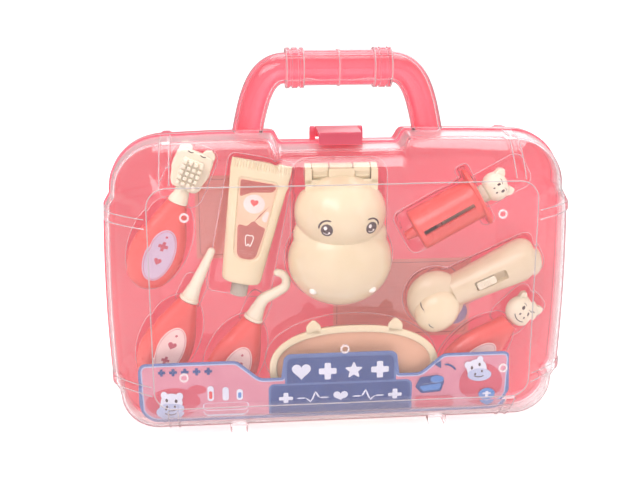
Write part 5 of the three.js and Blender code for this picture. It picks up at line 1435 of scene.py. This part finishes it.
basin = {
    "halfWidth": 52, "halfHeight": 27, "oval": 0.87, "front": -17, "ear": 4.5, "earPlace": (25, 22.95),
    "artHeight": 9, "badge": (13.5, 8.4), "badgeLine": (12.2, 7.2), "crossAcross": 7.4,
    # Profiles: how far each ring is drawn in sideways and up, and how far it lies behind the front
    "outside": [(0.5, 0.5, 0), (0.12, 0.12, 0.2), (0, 0, 0.7), (0, 0, 1.3), (0.3, 0.3, 1.6),
                (2.6, 2.6, 1.7), (3.1, 3.1, 2.4), (3.6, 3.6, 7), (4.8, 4.8, 13.5), (6.4, 5.6, 17.6),
                (8.6, 7.6, 19.5), (10.4, 9.4, 20)],
    "inside": [(12.4, 11.4, 18.4), (10.4, 9.2, 17.9), (8.2, 7.2, 16.2), (6.5, 6.4, 13), (5.2, 5.2, 7),
               (4.7, 4.7, 1.6), (4.5, 4.5, 0.7), (4.2, 4.2, 0.2), (3.6, 3.6, 0)],
    "rimRings": 3,
}


def buildDish():
    b = basin
    oval = ovalOutline(1, 1, 144, b["oval"])

    def rings(profile, drawnIn=0.0, back=0.0):
        halfWidth, halfHeight, front = b["halfWidth"] - drawnIn, b["halfHeight"] - drawnIn, b["front"] + back
        return [flatRing(oval * (halfWidth - x, halfHeight - z), front + y) for x, z, y in profile]

    shell = skinThrough(rings(b["outside"][::-1]) + rings(b["inside"][::-1]))
    ear = moved(earSkin(b["ear"], b["ear"] * 2, 1.6, 0, b["earPlace"][1], foot=0.2), y=b["front"] + 0.8)
    ears = [moved(ear, hand * b["earPlace"][0]) for hand in bothHands]
    toolPiece("dishFinished", [shell, *ears], "cream", dishPlace, "dish")
    # Painted shade: a tan lining over the inside up to the rim, for the shade in the dish's hollow
    lined = b["inside"][:-b["rimRings"]]
    shadeLining = skinThrough(rings(lined[::-1], 0.02, 0.06) + rings(lined, 0.12)[::-1])
    toolPiece("dishPaintedShade", [shadeLining], "tan", dishPlace)
    centre = np.array((0, b["artHeight"]))
    badge = decalOn(ovalOutline(*b["badge"], 96), centre, flatAt(b["front"] + 18.1), 0.3)
    toolPiece("dishLabelFinished", [badge], "red", dishPlace, "dish_label")
    onBadge = flatAt(b["front"] + 17.8)
    art = [strokeOn(ovalOutline(*b["badgeLine"], 96) + centre, 0.5, onBadge, 0.06, True),
           decalOn(heartOutline(5.2), centre + (0, 0.2), onBadge, 0.1)]
    for hand in bothHands:
        art.append(decalOn(plusOutline(2.0, 0.7), centre + (hand * b["crossAcross"], 0), onBadge, 0.1))
    toolPiece("dishPrint", art, "blush", dishPlace)


# Formed tray: a clear sheet whose front sinks into a pocket for each tool

sheet = {
    "depth": 1.0, "thickness": 1.0, "edge": 3.5, "margin": 0.6, "wall": 2.6, "rows": 132, "columns": 206,
    "crowding": 0.045, "rimWidth": 0.6, "rimHeight": 0.3,
    # Each pocket: its tool's place, how far along the tool its middle is, half width, half length,
    # corner radius (0 for an oval), and the depth of its floor
    "pockets": [
        *[(place, 28.5, 16.5, 28.5, 0, 5.9) for place in (brushPlace, pickPlace, hookPlace, gaugePlace)],
        (brushPlace, 74.2, 11.5, 17.3, 5.8, 2.3),
        (pickPlace, 62, 6, 9, 3, 2.3),
        (hookPlace, 62, 6, 9, 3, 2.3),
        (gaugePlace, 66, 10.3, 14, 5, 3.3),
        (tubePlace, 41.5, 18, 41.5, 2.6, 5.8),
        (syringePlace, 18.3, 13, 25.3, 3.5, 9.3),
        (syringePlace, 42.3, 19, 2.6, 1.3, 10.9),
        (syringePlace, 60, 9.3, 16, 4.5, 3.5),
        (lightPlace, 35, 12.1, 35, 6, 9.3),
        (lightPlace, 0, 18, 18, 0, 9.3),
        (jawPlace, 103, 31.5, 28, 0, 12.3),
        (jawPlace, 132.8, 27.5, 29.8, 9, 12.3),
        (dishPlace, 0, 52, 27, 0, 3.3),
    ],
}


def pocketDistance(x, z, halfX, halfZ, radius):
    # Rounded rectangle: |max(|p| - (half - r), 0)| - r. Oval: (|p / half| - 1) times the smaller half
    if radius == 0:
        return (np.hypot(x / halfX, z / halfZ) - 1) * min(halfX, halfZ)
    qx, qz = np.abs(x) - (halfX - radius), np.abs(z) - (halfZ - radius)
    return np.hypot(np.maximum(qx, 0), np.maximum(qz, 0)) + np.minimum(np.maximum(qx, qz), 0) - radius


def trayFront(x, z):
    # The deepest of the pockets' floors at each place, each pocket's wall a soft step
    depth = np.full(np.shape(x), sheet["depth"])
    for place, along, halfX, halfZ, radius, floor in sheet["pockets"]:
        across, up = toTool(place, x, z)
        away = pocketDistance(across, up - along, halfX, halfZ, radius)
        inside = 1 - softStep(away - sheet["margin"], -sheet["wall"] / 2, sheet["wall"])
        depth = np.maximum(depth, mixed(sheet["depth"], floor, inside))
    return depth


def trayGrid():
    # Rows between the sides of the case's outline, each bent up to follow its top edge
    s = sheet
    half = caseOutline(0, s["edge"])
    arcEnd = half[:, 0].max() - case["topRadius"]
    side = half[(half[:, 0] > arcEnd - 4) & (half[:, 0] > case["recessTop"] + case["crownRun"] + 8)]
    side = side[np.argsort(side[:, 1], kind="stable")]
    crest = half[half[:, 1] > half[:, 1].max() - case["recessDepth"] - case["crown"] - 1]
    crest = crest[crest[:, 0] <= arcEnd + 5][::-1]
    low, high = half[:, 1].min(), side[:, 1].max()
    way = np.linspace(0, 1, s["rows"])
    height = low + (high - low) * (way - s["crowding"] * np.sin(fullTurn * way))
    width = np.interp(height, side[:, 1], side[:, 0])
    x = width[:, None] * np.linspace(-1, 1, s["columns"])
    top = np.interp(np.abs(x), crest[:, 0], crest[:, 1])
    return x, low + (height[:, None] - low) * (np.minimum(top, high) - low) / (high - low)


def traySkin():
    # The grid at its front, the same grid a sheet's thickness behind it, and walls along their rim
    x, z = trayGrid()
    front = np.stack([x, trayFront(x, z), z], axis=2)
    back = front + (0, sheet["thickness"], 0)
    index = np.arange(x.size).reshape(x.shape)
    quads = np.stack([index[:-1, :-1], index[:-1, 1:], index[1:, 1:], index[1:, :-1]], axis=-1).reshape(-1, 4)
    rim = np.concatenate([index[0, :-1], index[:-1, -1], index[-1, :0:-1], index[:0:-1, 0]])
    after = np.roll(rim, -1)
    walls = np.stack([rim, rim + x.size, after + x.size, after], axis=1)
    points = np.concatenate([front.reshape(-1, 3), back.reshape(-1, 3)])
    faces = quads.tolist() + (quads[:, ::-1] + x.size).tolist() + walls.tolist()
    return moved((points, faces), z=case["foot"])


def buildTray():
    tray = makePiece("trayFinished", traySkin(), "sheet", "case", 60)
    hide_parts("tool_tray")


def buildTrayRimHighlights():
    # Painted highlights: pale lines around the tray's pockets, for the light their walls catch
    s = sheet
    grow = s["margin"] + s["wall"] / 2
    front = lambda x, z: trayFront(x, z - case["foot"])
    skins = []
    for place, along, halfX, halfZ, radius, _ in s["pockets"]:
        if radius:
            outline = slabOutline(halfX + grow, halfZ + grow, radius + grow)
        else:
            outline = ovalOutline(halfX + grow, halfZ + grow, 160)
        closed = np.concatenate([outline, outline[:1]])
        travel = travelled(closed)
        way = np.linspace(0, travel[-1], 200, endpoint=False)
        x, z = (np.interp(way, travel, closed[:, k]) for k in (0, 1))
        path = np.stack(fromTool(place, x, z + along), axis=1)
        skins.append(strokeOn(path, s["rimWidth"], front, s["rimHeight"], True))
    makePiece("trayRimHighlights", joined(*skins), "rimHighlight", "case")


# Printed card behind the cover's lower edge, its art cut from thin layers

card = {
    "front": -22.5, "back": -22.0, "low": 13.7, "wing": 51, "valley": 39, "plate": 54,
    "left": -121.5, "right": 105, "plateHalf": 35, "radius": 14, "lowRadius": 12,
    "border": 1.5, "line": 0.7, "layer": 0.05, "bandHeight": 25,
}


def cardOutline():
    c = card
    r, half = c["radius"], c["plateHalf"]

    def side(end):
        hand = math.copysign(1, end)
        return [(end, c["low"], c["lowRadius"], 10), (end, c["wing"], r / 3, 6),
                (hand * (half * 2 - r / 2), c["wing"], r / 2, 6), (hand * (half + r), c["valley"], r / 2, 6),
                (hand * half, c["valley"], 1, 3), (hand * half, c["plate"], r / 3, 6)]

    return roundedOutline([*side(c["right"]), *side(c["left"])[::-1]])


def layerSkin(outline, front, back):
    # A flat plate of an outline that can be seen whole from its middle
    middle = outline.mean(axis=0)
    near = middle + (outline - middle) * 0.02
    lines = ((near, back), (outline, back), (outline, front), (near, front))
    return skinThrough([flatRing(line, y) for line, y in lines])


def stripSkin(outline, front, back, columns=160):
    # A flat plate as a strip of columns, each from the outline's lower edge to its upper edge
    first, last = outline[:, 0].argmin(), outline[:, 0].argmax()
    chains = [np.roll(outline, -first, axis=0)[:(last - first) % len(outline) + 1],
              np.roll(outline, -last, axis=0)[:(first - last) % len(outline) + 1][::-1]]
    chains.sort(key=lambda chain: chain[:, 1].mean())
    way = np.linspace(0, math.pi, columns)
    x = mixed(outline[first, 0], outline[last, 0], mixed(way / math.pi, (1 - np.cos(way)) / 2, 0.35))
    low, high = (np.interp(x, chain[:, 0], chain[:, 1]) for chain in chains)
    edges = ((front, low), (front, high), (back, high), (back, low))
    return skinThrough(np.stack([flatRing(np.stack([x, z], axis=1), y) for y, z in edges], axis=1))


class CardPrint:
    # Collects flat shapes in their inks, each layer a hair nearer than the one before
    def __init__(self, front):
        self.front, self.level, self.inks = front, 0, {}

    def depth(self):
        return self.front - card["layer"] * self.level

    def keep(self, ink, skin):
        self.inks.setdefault(ink, []).append(skin)

    def add(self, ink, outline, centre=(0, 0), form=layerSkin):
        y = self.depth()
        self.keep(ink, form(np.asarray(outline) + np.asarray(centre), y - card["layer"], y + 0.02))

    def stroke(self, ink, path, width, closedLine=False):
        self.keep(ink, strokeOn(path, width, flatAt(self.depth()), card["layer"], closedLine, 4))

    def above(self):
        self.level += 1

    def finish(self, name):
        for ink, skins in self.inks.items():
            makePiece(name + ink.capitalize(), joined(*skins), ink, "case")


def plainFace(art, x, z, size, tilt):
    # A generic animal's face: two ears, a round head, a wide muzzle, two eyes, two nostrils and a mouth
    turn = math.radians(tilt)

    def at(dx, dz):
        return (x + (dx * math.cos(turn) - dz * math.sin(turn)) * size,
                z + (dx * math.sin(turn) + dz * math.cos(turn)) * size)

    def oval(ink, halfX, halfZ, count, dx, dz):
        art.add(ink, ovalOutline(halfX * size, halfZ * size, count), at(dx, dz))

    for hand in bothHands:
        oval("haze", 0.26, 0.3, 24, hand * 0.55, 0.78)
    art.above()
    oval("haze", 0.82, 0.78, 48, 0, 0.2)
    art.above()
    oval("mist", 0.98, 0.55, 48, 0, -0.42)
    art.above()
    for hand in bothHands:
        oval("ink", 0.1, 0.15, 20, hand * 0.34, 0.4)
        oval("ink", 0.08, 0.11, 16, hand * 0.3, -0.22)
    art.stroke("ink", arcPath(at(0, -0.3), 0.5 * size, 215, 325, 16, 0.6), 0.1 * size)


def printBlobs(art):
    # Red blobs behind the faces, and a pale line around a bare ribbon
    art.add("rose", ovalOutline(16.2, 9.4, 64), (-101.4, 25.6))
    art.add("rose", ovalOutline(13.5, 13.4, 64), (87, 30.6))
    art.above()
    art.add("rose", ovalOutline(5.6, 3.0, 40), (-87, 33.4))
    art.stroke("haze", slabOutline(13.5, 3.1, 3.0) + (-70, 20.4), 0.55, True)
    art.above()


def printPlate(art):
    # Centre plate in two tiers: a row of four marks, and a pulse line with a heart and two plus signs
    for ink, half, low, high, radius in (("slate", 34, 30, 52.9, 4.4), ("navy", 32.7, 31, 51.6, 3.6)):
        side = [(half, low, 1, 3), (half, high, radius, 8)]
        art.add(ink, roundedOutline([*side, *mirrorOf(side)]))
        art.above()
    band = card["bandHeight"]
    for ink, halves, radius in (("slate", (44, 10.2), 3.6), ("navy", (42.7, 8.9), 2.8)):
        art.add(ink, slabOutline(*halves, radius), (0, band))
        art.above()
    plus = plusOutline(5.4, 1.9, 0.7)
    for shape, x in ((heartOutline(11.5), -24), (plus, -8), (starOutline(6.2), 8), (plus, 24)):
        art.add("haze", shape, (x, 42.4))
    art.add("haze", heartOutline(9.0), (0, band))
    beat = np.array([(7, 0), (13, 0), (15.5, 4.5), (18.5, -4.5), (21, 0), (27, 0)]) + (0, band)
    for hand in bothHands:
        for a, b in zip(beat[:-1], beat[1:]):
            art.stroke("haze", np.linspace(a, b, 5) * (hand, 1), 1.3)
        art.add("haze", plusOutline(4.2, 1.5, 0.5), (hand * 33.5, band))


def printLeftWing(art):
    # A row of small plus signs, three little gauges and a face
    for x in np.linspace(-108, -80, 5):
        art.add("navy", plusOutline(2.3, 0.85), (x, 45.2))
    for x, tall, fillInk in ((-79, 10, "red"), (-70, 9, "haze"), (-61.5, 7.4, "blue")):
        art.add("haze", slabOutline(1.9, tall / 2, 1.8), (x, 25.6 + tall / 2))
        art.above()
        art.add(fillInk, slabOutline(1.0, tall / 4, 0.9), (x, 27.2 + tall / 4))
    plainFace(art, -103, 23.6, 8.4, -6)


def printRightWing(art):
    # An open box with an arrow over it, a bare ribbon, a face and a round badge
    box = [(46, 30), (50, 25.4), (62, 26.4), (64, 33), (60, 37.4), (49, 36.2)]
    boxFront = [(48, 30.2), (51, 27), (61, 27.8), (62.4, 32)]
    arrowHead = [(61.6, 46.8), (61.8, 41.6), (57.6, 44.4)]
    art.add("navy", roundedOutline([(x, z, 1.2, 4) for x, z in box]))
    art.above()
    art.add("blue", roundedOutline([(x, z, 0.8, 3) for x, z in boxFront]))
    art.add("blue", ovalOutline(4.2, 2.4, 32), (59.5, 34.6))
    art.above()
    art.stroke("haze", [(50.5, 31.6), (60.5, 32.8)], 0.7)
    art.stroke("navy", arcPath((64, 38), 7.2, 20, 92, 18, 0.85), 1.2)
    art.add("navy", roundedOutline([(x, z, 0.3, 2) for x, z in arrowHead]))
    art.add("rose", slabOutline(12, 2.2, 2.0), (58, 19.6))
    art.above()
    plainFace(art, 84.5, 39.5, 7.6, 24)
    art.above()
    art.add("blue", ovalOutline(5.2, 5.0, 40), (91, 22.6))
    art.above()
    art.add("haze", plusOutline(2.6, 0.9), (91, 22.6))


def buildCard():
    c = card
    whole = cardOutline()
    plate = makePiece("cardFinished", stripSkin(whole, c["front"], c["back"]), "cardSlate", "case")
    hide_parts("label_card")
    art = CardPrint(c["front"])
    art.add("mist", inset(whole, c["border"]), form=stripSkin)
    art.above()
    art.add("mauve", inset(whole, c["border"] + c["line"]), form=stripSkin)
    art.above()
    for printPart in (printBlobs, printPlate, printLeftWing, printRightWing):
        printPart(art)
    art.finish("card")


# Leaflets behind the tray, with faint lines, a frame and, on the right one, a badge with a star

leaflets = {
    "edge": 2.4, "pitch": 3.4, "badgeInset": 10.5, "badgeShare": 0.3, "badge": (9.2, 8.4), "star": 5.0,
}


def buildLeaflets():
    edge = leaflets["edge"]
    for name in ("left", "right"):
        smoothed("leaflet_" + name, "paper", "case")
        box = np.array([vertex.co for vertex in nodes["leaflet_" + name].data.vertices]) / mm
        (x0, front, z0), (x1, _, z1) = box.min(axis=0), box.max(axis=0)
        art = CardPrint(float(front))
        frameLine = slabOutline((x1 - x0) / 2 - edge, (z1 - z0) / 2 - edge, 2)
        art.stroke("faded", frameLine + ((x0 + x1) / 2, (z0 + z1) / 2), 0.5, True)
        for k, z in enumerate(np.arange(z1 - 2.4 * edge, z0 + 2 * edge, -leaflets["pitch"])):
            short = (x1 - x0) * (0.1 + 0.04 * (k * 7 % 5))
            art.stroke("faded", [(x0 + 2 * edge, z), (x1 - 2 * edge - short, z)], 0.7)
        if name == "right":
            badge = (x1 - leaflets["badgeInset"], mixed(z0, z1, leaflets["badgeShare"]))
            art.above()
            art.add("violet", ovalOutline(*leaflets["badge"], 48), badge)
            art.above()
            art.add("faded", starOutline(leaflets["star"]), badge)
        art.finish("leaflet" + name.capitalize())


# Small rings moulded on the inside of the cover's panel, in a pale white that paints the highlights they catch

coverRings = {
    "places": [(-90.6, 145), (91.2, 142.8), (0.4, 63.2), (-93.9, 48.7), (95.8, 47.4)],
    "outer": 2.7, "inner": 1.7, "height": 1.1, "edge": 0.2, "root": 0.3,
}


def buildCoverRings():
    r, e = coverRings, coverRings["edge"]
    top = -r["height"]
    profile = [(r["inner"], r["root"]), (r["outer"], r["root"]), (r["outer"], top + e), (r["outer"] - e, top),
               (r["inner"] + e, top), (r["inner"], top + e)]
    ring = turnedAbout(turnedLoop(profile, 36), "X", 90)
    skins = [moved(ring, x, case["wall"] - case["halfDepth"], z) for x, z in r["places"]]
    makePiece("coverRings", joined(*skins), "highlightWhite", "cover")


# Painted highlights: thin pale lines on the cover for the light its edges catch, around its flat panel,
# along both sides of each strap, and half rings on the grip's two collars and at its middle

edges = {
    "radius": 0.32, "sides": 10,
    "panelWidth": 0.7, "panelDepth": 41.45, "panelShare": 0.985, "panelHeight": 0.5,
    "rise": 0.55, "collarInset": 0.6, "arcEnds": (16, 164),
}


def highlightTube(path, upright=False):
    # A thin round line whose path is given by place and depth, across the front or, upright, along Z
    tube = turnedAbout(tubeAlong(path, np.full(len(path), edges["radius"]), edges["sides"]), "X", 90)
    return turnedAbout(tube, "Y", -90) if upright else tube


def strapEdgeHighlights():
    # On the right half, where each strap's two edges run back over the cover's shoulder
    c = case
    half = c["strapWidth"] / 2
    lines = [(wholeOutline(share, step - edges["rise"]), depth)
             for depth, share, step in zip(*shellStations())
             if c["flangeDepth"] < depth < c["halfDepth"] - 0.5]
    skins = []
    for height in (middle + hand * half for middle in strapHeights for hand in bothHands):
        path = []
        for line, depth in lines:
            side = line[line[:, 0] > line[:, 0].max() - c["lowRadius"] / 2]
            path.append((np.interp(height, side[:, 1], side[:, 0]), depth))
        skins.append(moved(highlightTube(path), z=height + c["foot"]))
    ends = [(c["strapAcross"] + hand * half, atTop) for hand in bothHands for atTop in (True, False)]
    for across, atTop in ends:
        path = []
        for line, depth in lines:
            end = line[((line[:, 1] > c["height"] / 2) == atTop) & (line[:, 0] > 0)]
            end = end[np.argsort(end[:, 0])]
            path.append((np.interp(across, end[:, 0], end[:, 1]) + c["foot"], depth))
        skins.append(moved(highlightTube(path, upright=True), x=across))
    return skins


def gripRingHighlights():
    g = grip
    arc = np.radians(np.linspace(*edges["arcEnds"], 25))
    axis = case["foot"] + case["height"] - g["sink"] + g["height"]
    inner, step = g["collarInner"], edges["collarInset"]
    ends = (inner + step, inner + g["collarWidth"] - step)
    rings = [(hand * x, g["collarRadius"] - 0.05) for hand in bothHands for x in ends]
    skins = []
    for x, radius in [*rings, (0, g["radius"] + 0.4)]:
        path = np.column_stack([axis + radius * np.cos(arc), radius * np.sin(arc)])
        skins.append(moved(highlightTube(path, upright=True), x=x))
    return skins


def buildCoverEdgeHighlights():
    e = edges
    right = strapEdgeHighlights()
    left = [(points * (-1, 1, 1), [face[::-1] for face in faces]) for points, faces in right]
    border = wholeOutline(e["panelShare"], 0) + (0, case["foot"])
    panelHighlight = strokeOn(border, e["panelWidth"], flatAt(-e["panelDepth"]), e["panelHeight"], True)
    # All of these lines are painted highlights in a pale white
    makePiece("coverEdgeHighlights", joined(*right, *left, panelHighlight, *gripRingHighlights()), "highlightWhite", "cover")


buildTray()
buildCard()
buildLeaflets()
buildCoverRings()
buildCoverEdgeHighlights()
buildTrayRimHighlights()
print("tray, card and leaflets built")
buildHead("thermometerFace", (10, 7, 10), 67.3, 57.35, 0.25, gaugePlace, "thermometer_face", "case", True)
buildHandTools()
buildBrushHead()
print("hand tools built")
buildTube()
buildSyringe()
buildLight()
print("tube, syringe and light built")
buildUpperJaw()
buildJawFace()
buildLowerJaw()
buildTeeth()
buildDish()
print("jaw and dish built")


# Floor, lamps and camera

studio = {
    "floorSize": 3.0, "floorBack": 0.9, "floorBend": 0.5, "floorColour": (250, 248, 248), "floorGlow": 0.74,
    "worldStrength": 0.2, "worldSeen": 0.98, "aim": (0, 0, 0.1),
    # Each lamp's place, its size and its power
    "lamps": {
        "keyLamp": ((-0.5, -0.7, 0.9), (0.8, 0.5), 4.0), "fillLamp": ((0.8, -0.6, 0.4), (0.7, 0.7), 0.9),
        "topLamp": ((0.1, 0.3, 1.0), (0.9, 0.5), 4.6), "backLamp": ((0.4, 0.85, 0.6), (0.7, 0.6), 2.4),
    },
}
photo = {
    "azimuth": -5.5, "elevation": 16.0, "distance": 0.663, "lens": 60.75, "sensor": 36.0,
    # The body's middle, and how many of the photo's pixels, each of this size there, it lies off the centre
    "bodyMiddle": (0.0, 0.0, 0.096), "pixel": 0.000614, "across": 17, "down": 35,
}


def addObject(name, data):
    made = bpy.data.objects.new(name, data)
    bpy.context.collection.objects.link(made)
    return made


def seenDirectly(tree):
    # 1 for rays from the camera and for those that pass through clear plastic, 0 for the others
    path = addNode(tree, "ShaderNodeLightPath", {}).outputs
    return mathOf(tree, "MAXIMUM", path["Is Camera Ray"], path["Is Transmission Ray"])


def backdrop():
    # A profile that runs back along the floor, up a quarter circle and up the wall, carried sideways
    back, bend, size = studio["floorBack"], studio["floorBend"], studio["floorSize"]
    angle = np.linspace(0, math.pi / 2, 24)
    depth = np.concatenate([[-size], back + bend * np.sin(angle), [back + bend]])
    height = np.concatenate([[0], bend * (1 - np.cos(angle)), [size]])
    points = [(x, y, z) for x in (-size, size) for y, z in zip(depth.tolist(), height.tolist())]
    count = len(depth)
    mesh = bpy.data.meshes.new("floor")
    mesh.from_pydata(points, [], [(k, k + 1, count + k + 1, count + k) for k in range(count - 1)])
    mesh.polygons.foreach_set("use_smooth", [True] * len(mesh.polygons))
    material, tree, shader = newMaterial("floorPale")
    fill(tree, shader, {"Base Color": linear(studio["floorColour"]), "Roughness": 0.6})
    strength = mathOf(tree, "MULTIPLY", seenDirectly(tree), studio["floorGlow"])
    glow = addNode(tree, "ShaderNodeEmission", {"Strength": strength})
    both = addNode(tree, "ShaderNodeAddShader", {0: shader.outputs[0], 1: glow.outputs[0]})
    fill(tree, tree.nodes["Material Output"], {"Surface": both.outputs[0]})
    mesh.materials.append(material)
    addObject("floor", mesh)


def softLamp(name, place, size, power):
    light = bpy.data.lights.new(name, "AREA")
    light.shape = "RECTANGLE"
    light.size, light.size_y = size
    light.energy = power
    holder = addObject(name, light)
    holder.location = place
    holder.rotation_euler = (Vector(studio["aim"]) - Vector(place)).to_track_quat("-Z", "Y").to_euler()


def paleWorld():
    world = bpy.data.worlds.new("studioWorld")
    world.use_nodes = True
    tree = world.node_tree
    strength = rangeOf(tree, seenDirectly(tree), 0.0, 1.0, studio["worldStrength"], studio["worldSeen"])
    fill(tree, tree.nodes["Background"], {"Color": (1, 1, 1, 1), "Strength": strength})
    bpy.context.scene.world = world


def photoCamera():
    azimuth, elevation = math.radians(photo["azimuth"]), math.radians(photo["elevation"])
    right = np.array([math.cos(azimuth), math.sin(azimuth), 0.0])
    away = np.array([math.sin(azimuth) * math.cos(elevation), -math.cos(azimuth) * math.cos(elevation),
                     math.sin(elevation)])
    up = np.cross(right, -away)
    aim = np.array(photo["bodyMiddle"]) + (up * photo["down"] - right * photo["across"]) * photo["pixel"]
    data = bpy.data.cameras.new("photoCamera")
    data.lens = photo["lens"]
    data.sensor_width = photo["sensor"]
    data.clip_start = 0.01
    camera = addObject("photoCamera", data)
    camera.location = Vector((aim + away * photo["distance"]).tolist())
    camera.rotation_euler = Vector((-away).tolist()).to_track_quat("-Z", "Y").to_euler()
    bpy.context.scene.camera = camera


backdrop()
for lampName, (place, size, power) in studio["lamps"].items():
    softLamp(lampName, place, size, power)
paleWorld()
photoCamera()
bpy.context.scene.view_settings.view_transform = "Standard"
print("stage set")
